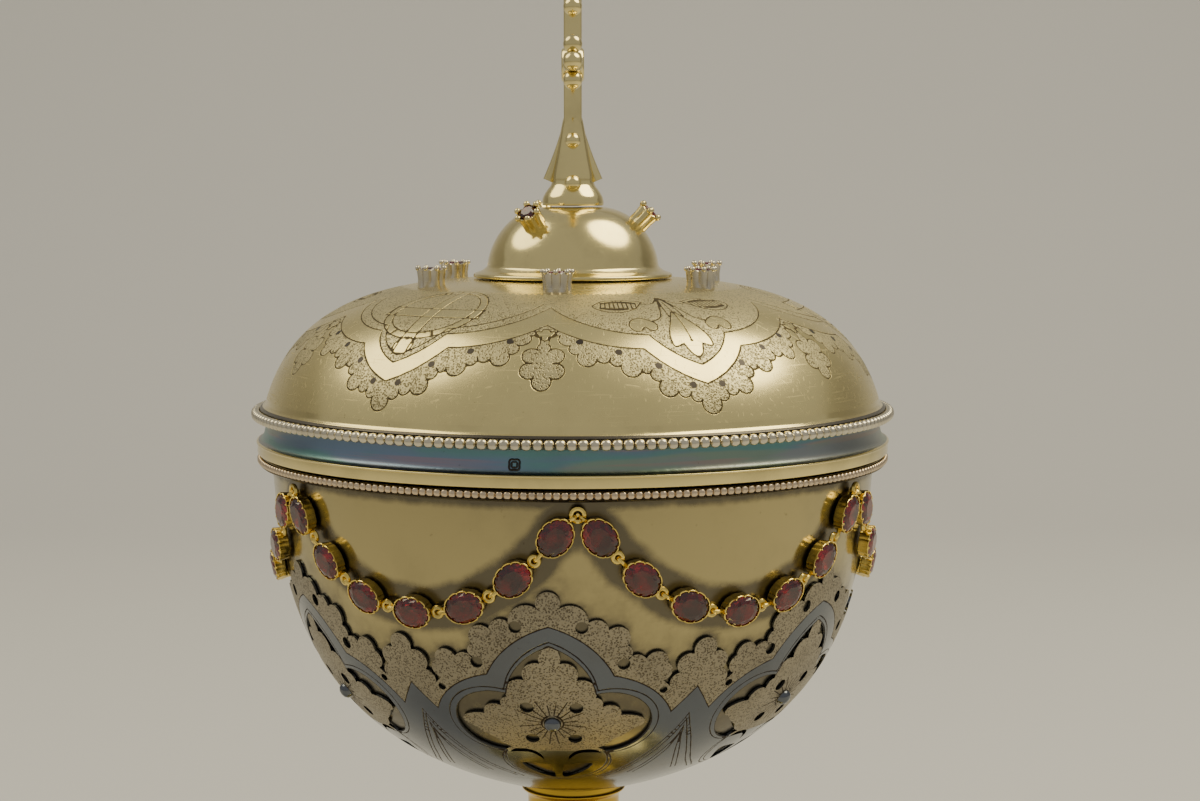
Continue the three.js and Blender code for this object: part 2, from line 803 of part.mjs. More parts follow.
function crossSolid() {
  const coneTop = crossConeHeight;
  const base = turned([
    [0, 0],
    [crossBaseRadius, 0],
    [crossBaseRadius, 1.2],
    [crossBaseRadius - 1.5, 2.6],
    [crossBaseRadius - 0.2, 3.9],
    [crossBaseRadius - 1.3, coneTop * 0.51],
    [crossThickness / 2 + 0.6, coneTop - 1.4],
    [crossThickness / 2 - 0.2, coneTop],
    [0, coneTop]
  ], 8);
  const barLength = crossHeight - crossBud - coneTop + 2;
  const upright = new THREE.BoxGeometry(crossBarWidth, crossThickness, barLength);
  upright.translate(0, 0, coneTop - 2 + barLength / 2);
  const arms = new THREE.BoxGeometry(crossSpan - 2 * crossBud, crossThickness, crossBarWidth);
  arms.translate(0, 0, crossCentre);
  const pieces = [base, upright, arms];
  const endReach = crossSpan / 2 - crossBud;
  const sideReach = crossBud * 1.85;
  const inwards = crossBud * 1.75;
  for (const side of [-1, 1]) {
    pieces.push(bud(crossBud, side * endReach, 0, crossCentre, 1));
    for (const lift of [-1, 1]) {
      pieces.push(bud(crossBud, side * (endReach - inwards), 0, crossCentre + lift * sideReach, 1));
    }
    pieces.push(bud(crossBud, side * sideReach, 0, crossHeight - crossBud - inwards, 1));
    pieces.push(bud(1.5, side * (crossBaseRadius - 0.9), 0, 4.3, 0));
    pieces.push(bud(1.4, side * (crossBaseRadius - 2.6), 0, coneTop * 0.74, 0));
  }
  pieces.push(bud(crossBud, 0, 0, crossHeight - crossBud, 1));
  return geometryOf(joined(pieces)).translate(0, 0, crossBase);
}

const ciborium = new THREE.Group();
ciborium.name = "ciborium";

const foot = named("foot", footSolid(), gilt);
const knop = named("knop", knopSolid(), deepGilt);
knop.position.z = knopBase;
const collar = named("collar", collarSolid(), deepGilt);
collar.position.z = collarBase;
ciborium.add(foot, knop, collar);
ciborium.add(named("cup", cupSolid(), gilt));
ciborium.add(named("calyx", calyxSolid(), silverGilt));
ciborium.add(...garlandMeshes());
ciborium.add(...lidMeshes());
ciborium.add(...bossMeshes());
ciborium.add(named("cross_finial", crossSolid(), gilt));

export default ciborium;
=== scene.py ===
"""A silver-gilt ciborium: a covered cup with a pierced calyx, a garland of garnets and a cross on its lid.

Shapes are worked out in millimetres above the table and written to the meshes in metres. The axis of the
vessel is the Z axis. Drawings on a curved wall are made flat, as an angle in degrees from the middle of a
lobe and a depth in millimetres along the wall, and are then bent onto it.
"""

import math

import bpy
import numpy as np
from bpy.props import FloatProperty, FloatVectorProperty, IntProperty, PointerProperty
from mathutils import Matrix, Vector
from mathutils.geometry import delaunay_2d_cdt


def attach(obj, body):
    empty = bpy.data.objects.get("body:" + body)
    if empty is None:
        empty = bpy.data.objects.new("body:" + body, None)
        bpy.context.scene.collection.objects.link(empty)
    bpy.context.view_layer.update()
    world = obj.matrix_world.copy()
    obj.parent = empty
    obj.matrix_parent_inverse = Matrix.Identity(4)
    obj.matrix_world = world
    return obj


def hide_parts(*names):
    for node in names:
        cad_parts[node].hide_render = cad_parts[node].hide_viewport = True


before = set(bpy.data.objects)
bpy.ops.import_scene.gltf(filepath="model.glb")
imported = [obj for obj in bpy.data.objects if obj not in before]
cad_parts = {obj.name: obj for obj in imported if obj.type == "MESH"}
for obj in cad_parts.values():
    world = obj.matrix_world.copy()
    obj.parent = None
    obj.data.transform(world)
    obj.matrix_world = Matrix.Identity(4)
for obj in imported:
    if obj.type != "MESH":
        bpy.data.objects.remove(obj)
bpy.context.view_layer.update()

bl_info = {
    "name": "Ciborium",
    "version": (1, 0, 0),
    "blender": (4, 5, 0),
    "location": "3D View > Sidebar > Ciborium",
    "description": "Builds the dressed pieces of a silver-gilt ciborium and its studio",
    "category": "Add Mesh",
}

MM = 0.001
FULL_TURN = 2 * math.pi


# Sizes and colours that a user would change


def length(name, description, default):
    return FloatProperty(name=name, description=description, default=default, min=0, unit="LENGTH", precision=5)


def turn(name, description, degrees):
    return FloatProperty(name=name, description=description, default=math.radians(degrees), unit="ROTATION")


def colour(name, description, default):
    return FloatVectorProperty(
        name=name, description=description, default=default, size=3, subtype="COLOR", min=0, max=1
    )


class CiboriumCupSizes(bpy.types.PropertyGroup):
    """Sizes of the bowl and its rim."""

    mouth_height: length("Mouth height", "Height of the bowl's mouth above the table", 0.1724)
    depth: length("Depth", "From the mouth down to the bowl's base", 0.0608)
    mouth_radius: length("Mouth radius", "Outer radius of the bowl at its mouth", 0.0562)
    base_radius: length("Base radius", "Radius of the flat base", 0.0098)
    wall: length("Wall", "Thickness of the bowl's wall", 0.0013)
    rim_projection: length("Rim projection", "How far the beaded rim stands out from the mouth", 0.0028)
    rim_height: length("Rim height", "Height of the rim above the mouth", 0.0021)
    rim_beads: IntProperty(name="Rim beads", description="Beads in the ring around the rim", default=272, min=24)


class CiboriumCalyxSizes(bpy.types.PropertyGroup):
    """Sizes of the pierced sheet around the bowl."""

    lobes: IntProperty(name="Lobes", description="Quatrefoils around the bowl", default=6, min=3)
    turn: turn("Turn", "Angle of the first quatrefoil from the X axis", -4.5)
    stand_off: length("Stand-off", "Gap between the bowl and the sheet", 0.00015)
    sheet: length("Sheet", "Thickness of the sheet", 0.0004)
    fineness: length("Fineness", "Spacing of the points between the drawn lines", 0.0013)
    pin_radius: length("Pin radius", "Radius of the domed pin in each flower", 0.0015)


class CiboriumGarlandSizes(bpy.types.PropertyGroup):
    """Sizes of the chain of garnets below the rim."""

    swags: IntProperty(name="Swags", description="Swags around the bowl", default=6, min=3)
    stones: IntProperty(name="Stones", description="Garnets in each swag", default=7, min=3)
    turn: turn("Turn", "Angle of the first ring from the X axis", 0.73)
    lowest: length("Lowest", "Length down the wall from the mouth to the lowest stone", 0.0195)
    rise: length("Rise", "How far the swag's curve rises from there to its ends", 0.0187)
    power: FloatProperty(name="Power", description="Power of the swag's curve", default=2.26, min=1)
    ring_rise: length("Ring rise", "How far the rings sit above the lowest stone", 0.0176)
    pitch: length("Pitch", "Distance from stone to stone along the curve", 0.01012)
    stand_off: length("Stand-off", "Gap between the bowl and the back of a collet", 0.00035)
    collet_length: length("Collet length", "Long axis of a collet", 0.0076)
    collet_width: length("Collet width", "Short axis of a collet", 0.006)
    collet_height: length("Collet height", "Height of a collet", 0.002)
    wire: length("Wire", "Radius of the wire in the rings and hooks", 0.00038)


class CiboriumLidSizes(bpy.types.PropertyGroup):
    """Sizes of the domed lid and its settings."""

    base_height: length("Base height", "Height of the band's lower edge above the table", 0.1749)
    foot_height: length("Dome foot height", "Height of the dome's foot above the table", 0.1849)
    top_height: length("Top height", "Height of the dome's top above the table", 0.2066)
    dome_radius: length("Dome radius", "Radius of the dome at its foot", 0.0571)
    top_radius: length("Top radius", "Radius of the flat top, under the boss", 0.018)
    band_radius: length("Band radius", "Outer radius of the band that rests on the cup", 0.0589)
    bead_radius: length("Bead ring radius", "Outer radius of the ring of beads", 0.06)
    bead_height: length("Bead height", "Height of the bead ring's middle above the table", 0.182)
    flange_radius: length("Flange radius", "Outer radius of the flange inside the cup", 0.0543)
    flange_depth: length("Flange depth", "How far the flange reaches into the cup", 0.0045)
    wall: length("Wall", "Thickness of the lid's wall", 0.0013)
    beads: IntProperty(name="Beads", description="Beads in the ring around the lid", default=200, min=24)
    lobes: IntProperty(name="Lobes", description="Engraved lobes around the dome, an even number", default=6, min=2)
    turn: turn("Turn", "Angle of the first leaf lobe from the X axis", 24.4)
    fineness: length("Fineness", "Spacing of the points between the engraved lines", 0.0011)
    settings: IntProperty(name="Settings", description="Garnets around the top of the dome", default=6, min=3)
    setting_circle: length("Setting circle", "Radius of the circle of settings", 0.0283)
    setting_radius: length("Setting radius", "Radius of a setting", 0.00305)
    setting_height: length("Setting height", "Height of a setting above the dome", 0.0031)
    stone_radius: length("Stone radius", "Radius of a stone in the lid", 0.0025)


class CiboriumBossSizes(bpy.types.PropertyGroup):
    """Sizes of the small dome on the lid."""

    base_height: length("Base height", "Height of the boss's foot above the table", 0.2069)
    height: length("Height", "Height of the boss", 0.013)
    flange_radius: length("Flange radius", "Radius of the flared foot", 0.0186)
    radius: length("Radius", "Radius of the dome above the foot", 0.016)
    top_radius: length("Top radius", "Radius of the flat top, under the cross", 0.0059)
    wall: length("Wall", "Thickness of the wall", 0.0011)
    settings: IntProperty(name="Settings", description="Garnets around the boss", default=3, min=1)
    turn: turn("Turn", "Angle of the first setting from the X axis", -35)
    setting_share: FloatProperty(
        name="Setting place", description="Share of the way down the dome", default=0.45, min=0, max=1
    )
    setting_radius: length("Setting radius", "Radius of a setting", 0.0025)
    setting_height: length("Setting height", "Height of a setting off the dome", 0.0032)
    stone_radius: length("Stone radius", "Radius of a stone", 0.002)


class CiboriumCrossSizes(bpy.types.PropertyGroup):
    """Sizes of the cross finial."""

    base_height: length("Base height", "Height of the finial's foot above the table", 0.2202)
    height: length("Height", "Height of the finial", 0.0413)
    base_radius: length("Base radius", "Radius of the bell at the foot", 0.0058)
    cone_height: length("Cone height", "Height of the leafed cone's top above the foot", 0.0166)
    span: length("Span", "Width over the two arms", 0.031)
    centre: length("Centre", "Height of the arms above the foot", 0.026)
    thickness: length("Thickness", "Thickness of the bars from face to face", 0.0034)
    bar: length("Bar width", "Width of the bars seen from the face", 0.0034)
    bud: length("Bud radius", "Radius of the balls at the ends", 0.00175)


class CiboriumStemSizes(bpy.types.PropertyGroup):
    """Sizes of the foot, the knop and the collar."""

    foot_height: length("Foot height", "Height of the foot with its trumpet", 0.058)
    foot_radius: length("Foot radius", "Radius of the ring that the ciborium stands on", 0.057)
    foot_beads: IntProperty(name="Foot beads", description="Beads in the ring on the foot", default=190, min=24)
    knop_base: length("Knop base", "Height of the knop's lower end above the table", 0.0583)
    knop_height: length("Knop height", "Height of the knop", 0.026)
    knop_radius: length("Knop radius", "Radius of the knop's middle band", 0.0195)
    knop_flutes: IntProperty(
        name="Knop flutes", description="Raised flutes around each half of the knop", default=16, min=6
    )
    collar_base: length("Collar base", "Height of the collar's lower end above the table", 0.0846)
    collar_height: length("Collar height", "Height of the collar up to the bowl", 0.0267)


class CiboriumFinishes(bpy.types.PropertyGroup):
    """Colours of the metals, the stones and the dirt on them, and of the painted shade and painted reflection on
    some of them.
    """

    pale_gilt: colour("Pale gilt", "Thin gilding of the lid", (0.82, 0.69, 0.31))
    # Bowl gilt: gilding dulled by tarnish and darkened further as a painted reflection of dark surroundings; the
    # lid's band shares it
    bowl_gilt: colour("Bowl gilt", "Duller gilding of the bowl and the lid's band", (0.43, 0.365, 0.185))
    worn_silver: colour("Worn silver", "Stippled silver of the lid, its gilding worn away", (0.60, 0.52, 0.28))
    calyx_silver: colour("Calyx silver", "Stippled silver of the calyx", (0.34, 0.30, 0.215))
    # Polished silver: dark blue-grey, a painted reflection of dark surroundings on the calyx's polished bands,
    # edges and pins
    polished_silver_painted_reflection: colour("Polished silver", "Dark polished bands of the calyx", (0.135, 0.148, 0.168))
    bead_silver: colour("Bead silver", "Silver of the beads and the claws", (0.68, 0.62, 0.47))
    rim_bronze: colour("Rim bronze", "Warm worn gilding of the cup's beads", (0.68, 0.54, 0.37))
    deep_gilt: colour("Deep gilt", "Gilding of the collar and the knop", (0.56, 0.36, 0.043))
    chain_gold: colour("Chain gold", "Gold of the collets and links", (0.84, 0.64, 0.18))
    # Tarnish: the colour of real tarnish, also painted as shade on the bowl and on the seats behind the cup's and
    # the lid's beads
    tarnish: colour("Tarnish", "Brown-grey film around the garland", (0.10, 0.09, 0.075))
    teal_film: colour("Teal film", "Blue-green film on the lid's band", (0.15, 0.32, 0.31))
    blue_film: colour("Blue film", "Blue film on the lid's band", (0.19, 0.27, 0.37))
    violet_film: colour("Violet film", "Violet film on the lid's band", (0.33, 0.25, 0.29))
    # Pit grey: painted shade for the round pits, which are flat spots on the dome, and for the struck mark on the
    # band
    pit_grey: colour("Pit grey", "Bottom of the round pits in the lid", (0.06, 0.052, 0.045))
    dirt: colour("Dirt", "Dark dirt left in the engraved lines", (0.035, 0.022, 0.012))
    garnet: colour("Garnet", "Red of the stones", (0.42, 0.004, 0.012))


class CiboriumStudio(bpy.types.PropertyGroup):
    """The floor, the lights and the camera."""

    floor_colour: colour("Floor", "Colour of the plain floor", (0.61, 0.60, 0.58))
    left_power: FloatProperty(
        name="Left light", description="Power of the soft light on the left", default=7.5, min=0, unit="POWER"
    )
    right_power: FloatProperty(
        name="Right light", description="Power of the soft light on the right", default=17.0, min=0, unit="POWER"
    )
    surround: FloatProperty(name="Surround", description="Brightness of the grey room", default=0.42, min=0)
    focal_length: FloatProperty(
        name="Focal length", description="Focal length of the camera's lens", default=67.18, unit="CAMERA"
    )


def sizes(group):
    """The sizes of a property group, lengths in millimetres."""
    owner = getattr(bpy.context.scene, group)
    values = {}
    for name, detail in owner.bl_rna.properties.items():
        if name in ("rna_type", "name"):
            continue
        value = getattr(owner, name)
        values[name] = value / MM if getattr(detail, "unit", "NONE") == "LENGTH" else value
    return type("Sizes", (), values)


# Curves


class Curve:
    """A cubic Bezier curve in the plane of radius and height, measured by the length along it.

    Its points are (1-t)^3 a + 3(1-t)^2 t b + 3(1-t) t^2 c + t^3 d. It runs outwards and down, or down the
    outside of a wall, so that its normal (-dz, dr) points away from the wall.
    """

    def __init__(self, corners):
        a, b, c, d = np.array(corners, float)
        t = np.linspace(0, 1, 601)[:, None]
        self.points = (1 - t) ** 3 * a + 3 * (1 - t) ** 2 * t * b + 3 * (1 - t) * t**2 * c + t**3 * d
        steps = np.diff(self.points, axis=0)
        self.reach = np.concatenate([[0], np.cumsum(np.hypot(*steps.T))])
        slopes = np.gradient(self.points, self.reach, axis=0)
        self.slopes = slopes / np.hypot(*slopes.T)[:, None]
        self.length = self.reach[-1]

    def at(self, where, lift=0.0):
        """Radius and height at each length along the curve, moved off it along its normal."""
        radius, height = (np.interp(where, self.reach, part) for part in self.points.T)
        out, down = self.slope(where)
        return radius - down * lift, height + out * lift

    def slope(self, where):
        return tuple(np.interp(where, self.reach, part) for part in self.slopes.T)

    def rows(self, count, lift=0.0, start=0.0, end=None):
        """Points spaced evenly along the curve, as rows of radius and height."""
        where = np.linspace(start, self.length if end is None else end, count)
        return np.column_stack(self.at(where, lift))

    def bent(self, angles, where, lift=0.0):
        """The drawing's points, angles in degrees and lengths along the curve, on the curve turned about Z."""
        radius, height = self.at(where, lift)
        a = np.radians(angles)
        return np.column_stack([radius * np.cos(a), radius * np.sin(a), height])

    def normals(self, angles, where):
        out, down = self.slope(where)
        a = np.radians(angles)
        return np.column_stack([-down * np.cos(a), -down * np.sin(a), out])

    def degree_width(self, where):
        """How many millimetres wide one degree is there."""
        return np.radians(1) * self.at(where)[0]


def bowl_wall(cup):
    base = cup.mouth_height - cup.depth
    return Curve([
        (cup.mouth_radius, cup.mouth_height),
        (cup.mouth_radius * 0.961, cup.mouth_height - cup.depth * 0.583),
        (cup.mouth_radius * 0.752, cup.mouth_height - cup.depth * 0.856),
        (cup.base_radius, base),
    ])


def lid_wall(lid):
    """The dome's outside, from its foot up to the flat top; its normal is turned to point outwards."""
    reach = lid.dome_radius - lid.top_radius
    rise = lid.top_height - lid.foot_height
    return Curve([
        (lid.top_radius, lid.top_height),
        (lid.top_radius + reach * 0.59, lid.top_height - rise * 0.025),
        (lid.dome_radius - reach * 0.11, lid.foot_height + rise * 0.642),
        (lid.dome_radius, lid.foot_height),
    ])


def boss_wall(boss):
    top = boss.base_height + boss.height
    return Curve([
        (boss.top_radius, top),
        (boss.top_radius + (boss.radius - boss.top_radius) * 0.67, top - boss.height * 0.062),
        (boss.radius - 0.3, top - boss.height * 0.556),
        (boss.radius, top - boss.height * 0.82),
    ])


# Forms: points, faces and the values kept on them


class Form:
    """Points in millimetres, faces of four corners, a finish number for each face and marks at the points.

    A face whose last two corners are the same is a triangle. A mark is 0 where there is nothing to show.
    """

    def __init__(self, points, faces, finish=0, **marks):
        self.points = np.asarray(points, float).reshape(-1, 3)
        self.faces = np.asarray(faces, np.int64).reshape(-1, 4)
        self.finish = np.array(np.broadcast_to(finish, len(self.faces)), np.int32)
        self.marks = {
            name: np.array(np.broadcast_to(value, len(self.points)), float) for name, value in marks.items()
        }


def together(*forms):
    """Several forms as one; a mark that one of them lacks is 0 on its points."""
    starts = np.cumsum([0] + [len(form.points) for form in forms[:-1]])
    marks = {}
    for name in {name for form in forms for name in form.marks}:
        marks[name] = np.concatenate([form.marks.get(name, np.zeros(len(form.points))) for form in forms])
    return Form(
        np.concatenate([form.points for form in forms]),
        np.concatenate([form.faces + start for form, start in zip(forms, starts)]),
        np.concatenate([form.finish for form in forms]),
        **marks,
    )


def grid(points, close_rows=False, close_columns=False, finish=0, **marks):
    """Faces between the neighbours in an array of points by rows and columns."""
    rows, columns = points.shape[:2]
    i = np.arange(rows if close_rows else rows - 1)[:, None]
    j = np.arange(columns if close_columns else columns - 1)[None, :]
    below, beside = (i + 1) % rows, (j + 1) % columns
    here, under = i * columns, below * columns
    faces = np.stack(np.broadcast_arrays(here + j, here + beside, under + beside, under + j), -1)
    by_row = np.broadcast_to(np.reshape(finish, (-1, 1)), (len(i), 1))
    by_face = np.broadcast_to(by_row, faces.shape[:2]).reshape(-1)
    flat = {name: np.broadcast_to(value, points.shape[:2]).reshape(-1) for name, value in marks.items()}
    return Form(points, faces, by_face, **flat)


def corners_of(faces):
    """Splits faces into quads, triangles and their places in the list; faces with fewer corners are dropped."""
    same = faces == np.roll(faces, -1, axis=1)
    crossed = (faces[:, 0] == faces[:, 2]) | (faces[:, 1] == faces[:, 3])
    whole = (same.sum(axis=1) == 0) & ~crossed
    three = (same.sum(axis=1) == 1) & ~crossed
    triangles = faces[three][~same[three]].reshape(-1, 3)
    return faces[whole], triangles, np.flatnonzero(whole), np.flatnonzero(three)


def sealed(form, step=0.0005):
    """The same form with the points that lie at one place made one, so that seams and poles close."""
    keys = np.round(form.points / step).astype(np.int64)
    _, first, number = np.unique(keys, axis=0, return_index=True, return_inverse=True)
    number = number.reshape(-1)
    quads, triangles, whole, three = corners_of(number[form.faces])
    faces = np.concatenate([quads, np.column_stack([triangles, triangles[:, 2]])])
    finish = np.concatenate([form.finish[whole], form.finish[three]])
    return Form(form.points[first], faces, finish, **{name: value[first] for name, value in form.marks.items()})


def volume(form):
    a, b, c, d = (form.points[form.faces[:, k]] for k in range(4))
    return (np.einsum("ij,ij->i", a, np.cross(b, c)) + np.einsum("ij,ij->i", a, np.cross(c, d))).sum() / 6


def outward(form):
    """The closed form with its faces turned to point outwards."""
    if volume(form) < 0:
        form.faces = form.faces[:, [1, 0, 3, 2]]
    return form


def set_out(form, places):
    """The form at every place: its x, y and z run along that place's three directions."""
    origins, axes = places
    count = len(origins)
    points = origins[:, None, :] + np.einsum("pc,kcd->kpd", form.points, axes)
    faces = form.faces[None] + (np.arange(count) * len(form.points))[:, None, None]
    marks = {name: np.tile(value, count) for name, value in form.marks.items()}
    return Form(points, faces, np.tile(form.finish, count), **marks)


def unit(vectors):
    return vectors / np.linalg.norm(vectors, axis=-1, keepdims=True)


def places(origins, along, normals):
    """Places whose z is the normal and whose x is the direction along, squared up to it."""
    z = unit(np.asarray(normals, float))
    along = np.asarray(along, float)
    x = unit(along - (along * z).sum(axis=1, keepdims=True) * z)
    return np.asarray(origins, float), np.stack([x, np.cross(z, x), z], axis=1)


def ring_places(count, radius, height, start=0.0):
    """Places evenly round a circle: x points outwards, y along the ring and z up."""
    a = start + np.arange(count) * FULL_TURN / count
    out = np.column_stack([np.cos(a), np.sin(a), np.zeros(count)])
    origins = out * radius + [0, 0, height]
    return places(origins, out, np.tile([0.0, 0, 1], (count, 1)))


def wall_places(wall, count, start, depth, lift):
    """Places evenly round a wall at one depth: x points along the ring and z straight out of the wall."""
    angles = math.degrees(start) + np.arange(count) * 360 / count
    depths = np.full(count, float(depth))
    a = np.radians(angles)
    east = np.column_stack([-np.sin(a), np.cos(a), 0 * a])
    return places(wall.bent(angles, depths, lift), east, wall.normals(angles, depths))


def parabola(a, b, c, count):
    """Points of the parabola (1 - t)^2 a + 2 (1 - t) t b + t^2 c."""
    t = np.linspace(0, 1, count)[:, None]
    return (1 - t) ** 2 * np.asarray(a) + 2 * (1 - t) * t * np.asarray(b) + t**2 * np.asarray(c)


def eased(corners, radius=0.4, steps=4):
    """A profile with its corners rounded: each is cut back on both sides and bridged by a parabola."""
    corners = np.asarray(corners, float)
    rows = [corners[:1]]
    for before, here, after in zip(corners[:-2], corners[1:-1], corners[2:]):
        back, ahead = before - here, after - here
        reach = min(radius, 0.45 * np.hypot(*back), 0.45 * np.hypot(*ahead))
        a, c = here + back / np.hypot(*back) * reach, here + ahead / np.hypot(*ahead) * reach
        rows.append(parabola(a, here, c, steps))
    rows.append(corners[-1:])
    return np.concatenate(rows)


def turned(profile, sides, start=0.0, finish=0, closed=True, **marks):
    """A profile of (radius, height) turned about Z: x = r cos a, y = r sin a, with poles where r is 0."""
    radius, height = np.asarray(profile, float).T[:, :, None]
    a = start + np.arange(sides) * FULL_TURN / sides
    points = np.stack(np.broadcast_arrays(radius * np.cos(a), radius * np.sin(a), height), -1)
    marks = {name: np.reshape(value, (-1, 1)) if np.ndim(value) else value for name, value in marks.items()}
    form = sealed(grid(points, closed, True, finish, **marks))
    return outward(form) if closed else form


def ball(radius, sides=8, rows=5):
    """A sphere: radius r sin u and height -r cos u turned about Z."""
    u = np.linspace(0, math.pi, rows)
    return turned(np.column_stack([radius * np.sin(u), -radius * np.cos(u)]), sides)


def full_bead(x_radius, y_radius, z_radius, fullness, sides=10, rows=6):
    """A bead with full shoulders: each coordinate of a sphere is raised to a power below 1, keeping its sign."""
    form = ball(1.0, sides, rows)
    full = np.sign(form.points) * np.abs(np.round(form.points, 9)) ** fullness
    form.points = full * [x_radius, y_radius, z_radius]
    return form


def wire(path, radius, sides=8, closed=False, up=(0, 0, 1)):
    """A round wire along a path: path + r (n cos a + b sin a), n square to the path and nearest to up."""
    path = np.asarray(path, float)
    if closed:
        along = np.roll(path, -1, axis=0) - np.roll(path, 1, axis=0)
    else:
        along = np.gradient(path, axis=0)
    along = unit(along)
    up = np.broadcast_to(np.asarray(up, float), path.shape)
    n = unit(up - (up * along).sum(axis=1, keepdims=True) * along)
    b = np.cross(along, n)
    a = (np.arange(sides) * FULL_TURN / sides)[None, :, None]
    radius = np.broadcast_to(np.reshape(radius, (-1, 1, 1)), (len(path), 1, 1))
    points = path[:, None] + radius * (n[:, None] * np.cos(a) + b[:, None] * np.sin(a))
    if not closed:
        ends = [np.repeat(path[end][None, None], sides, axis=1) for end in (0, -1)]
        points = np.concatenate([ends[0], points, ends[1]])
    return outward(sealed(grid(points, closed, True)))


# Drawings on an unrolled wall


def arc_chain(stops, width, step=0.3):
    """A line of circular arcs through stops (angle, depth, rise): each arc's crown stands that far off its chord.

    On a chord of half length h the circle's radius is (h^2 + rise^2) / 2 rise. A positive rise is towards
    smaller depths when the line runs towards larger angles.
    """
    rows = []
    for (a0, d0, rise), (a1, d1, _) in zip(stops[:-1], stops[1:]):
        across = width((d0 + d1) / 2)
        start, end = np.array([a0 * across, d0]), np.array([a1 * across, d1])
        half = np.hypot(*(end - start)) / 2
        if abs(rise) < 1e-6:
            count = max(2, int(2 * half / step))
            rows.append(start + (end - start) * np.linspace(0, 1, count, endpoint=False)[:, None])
        else:
            size = (half**2 + rise**2) / (2 * abs(rise))
            side = math.copysign(1, rise)
            forward = (end - start) / (2 * half)
            inner = np.array([-forward[1], forward[0]]) * side
            centre = (start + end) / 2 + inner * (size - abs(rise))
            sweep = 4 * math.atan2(abs(rise), half) * side
            count = 2 * max(2, int(round(size * abs(sweep) / step / 2)))
            first = math.atan2(*(start - centre)[::-1])
            turns = first + sweep * np.linspace(0, 1, count, endpoint=False)
            rows.append(centre + size * np.column_stack([np.cos(turns), np.sin(turns)]))
        rows[-1][:, 0] /= across
    rows.append(np.array([stops[-1][:2]], float))
    return np.concatenate(rows)


def circle(angle, depth, radius, width, count=14):
    """A closed round line of that radius in millimetres."""
    a = np.linspace(0, FULL_TURN, count + 1)
    return np.column_stack([angle + radius * np.cos(a) / width(depth), depth + radius * np.sin(a)])


def mirrored(line):
    return line[::-1] * [-1, 1]


def both(line):
    """A line and its mirror image in the middle of the lobe."""
    return [line, mirrored(line)]


def clipped(line, low, high):
    """The part of a line between two angles, with its ends brought exactly onto them."""
    kept = line[(line[:, 0] > low - 1e-4) & (line[:, 0] < high + 1e-4)]
    kept[:, 0] = np.clip(kept[:, 0], low, high)
    for edge in (low, high):
        kept[np.abs(kept[:, 0] - edge) < 2e-3, 0] = edge
    return kept


def inside(points, outline):
    """True where a line drawn sideways from the point crosses the closed outline an odd number of times."""
    x, y = points[:, 0][:, None], points[:, 1][:, None]
    (ax, ay), (bx, by) = outline.T, np.roll(outline, -1, axis=0).T
    level = np.where(by == ay, 1e-9, by - ay)
    crossing = (ay > y) != (by > y)
    return ((x < ax + (y - ay) * (bx - ax) / level) & crossing).sum(axis=1) % 2 == 1


def distance(points, lines, wall):
    """Millimetres from each point to the nearest line: to the nearest place on every straight step of it."""
    steps = np.concatenate([np.hstack([line[:-1], line[1:]]) for line in lines])
    width = wall.degree_width(points[:, 1])[:, None]
    best = np.full(len(points), 1e3)
    for some in np.array_split(steps, len(steps) // 150 + 1):
        ax, bx = (some[:, 0] - points[:, :1]) * width, (some[:, 2] - points[:, :1]) * width
        ay, by = some[:, 1] - points[:, 1:], some[:, 3] - points[:, 1:]
        dx, dy = bx - ax, by - ay
        t = np.clip(-(ax * dx + ay * dy) / np.maximum(dx**2 + dy**2, 1e-12), 0, 1)
        best = np.minimum(best, np.hypot(ax + t * dx, ay + t * dy).min(axis=1))
    return best


def fade(value, start, span):
    """1 up to the start, falling evenly to 0 over the span beyond it."""
    return np.clip(1 - (value - start) / span, 0, 1)


def nearness(points, lines, wall):
    """1 on a line, falling to 0 at half a millimetre from it."""
    return fade(distance(points, lines, wall), 0, 0.5)


def beside(lines, wall, gap=0.3):
    """Points at a gap on both sides of every line, where no other line is near: they let the mark fall off."""
    rows = []
    for line in lines:
        width = wall.degree_width(line[:, 1])
        steps = np.diff(line, axis=0) * np.column_stack([(width[1:] + width[:-1]) / 2, np.ones(len(line) - 1)])
        size = np.hypot(*steps.T)
        middles = (line[1:] + line[:-1]) / 2
        across = np.column_stack([-steps[:, 1], steps[:, 0]]) / np.maximum(size, 1e-6)[:, None] * gap
        across[:, 0] /= (width[1:] + width[:-1]) / 2
        rows += [middles + across, middles - across]
    spots = np.concatenate(rows)
    spots = spots[distance(spots, lines, wall) > gap * 0.8]
    cell = np.round(spots * [wall.degree_width(spots[:, 1].mean()), 1] / 0.22).astype(np.int64)
    return spots[np.unique(cell, axis=0, return_index=True)[1]]


def filling(low, high, top, bottom, spacing, lines, wall):
    """Points between the lines: rows a spacing apart, with the columns a spacing apart in millimetres."""
    rows = []
    for index, depth in enumerate(np.arange(top, bottom, spacing)):
        count = max(4, int((high - low) * wall.degree_width(depth) / spacing))
        shift = 0.5 if index % 2 else 0.0
        across = low + (high - low) * (np.arange(count) + shift) / count
        rows.append(np.column_stack([across, np.full(count, depth)]))
    points = np.concatenate(rows)
    return points[(distance(points, lines, wall) > spacing * 0.45) & (points[:, 0] > low) & (points[:, 0] < high)]


def triangulated(lines, loose):
    """The flat drawing as triangles that have the lines among their edges, by Delaunay's rule."""
    corners = np.concatenate(list(lines) + [loose])
    edges, start = [], 0
    for line in lines:
        edges += [(start + k, start + k + 1) for k in range(len(line) - 1)]
        start += len(line)
    result = delaunay_2d_cdt([Vector(corner) for corner in corners], edges, [], 0, 1e-4, False)
    points = np.array([tuple(point) for point in result[0]])
    return points, np.array([face for face in result[2] if len(face) == 3])


def bezier_line(corners, count=12):
    a, b, c, d = np.array(corners, float)
    t = np.linspace(0, 1, count)[:, None]
    return (1 - t) ** 3 * a + 3 * (1 - t) ** 2 * t * b + 3 * (1 - t) * t**2 * c + t**3 * d


# Pieces


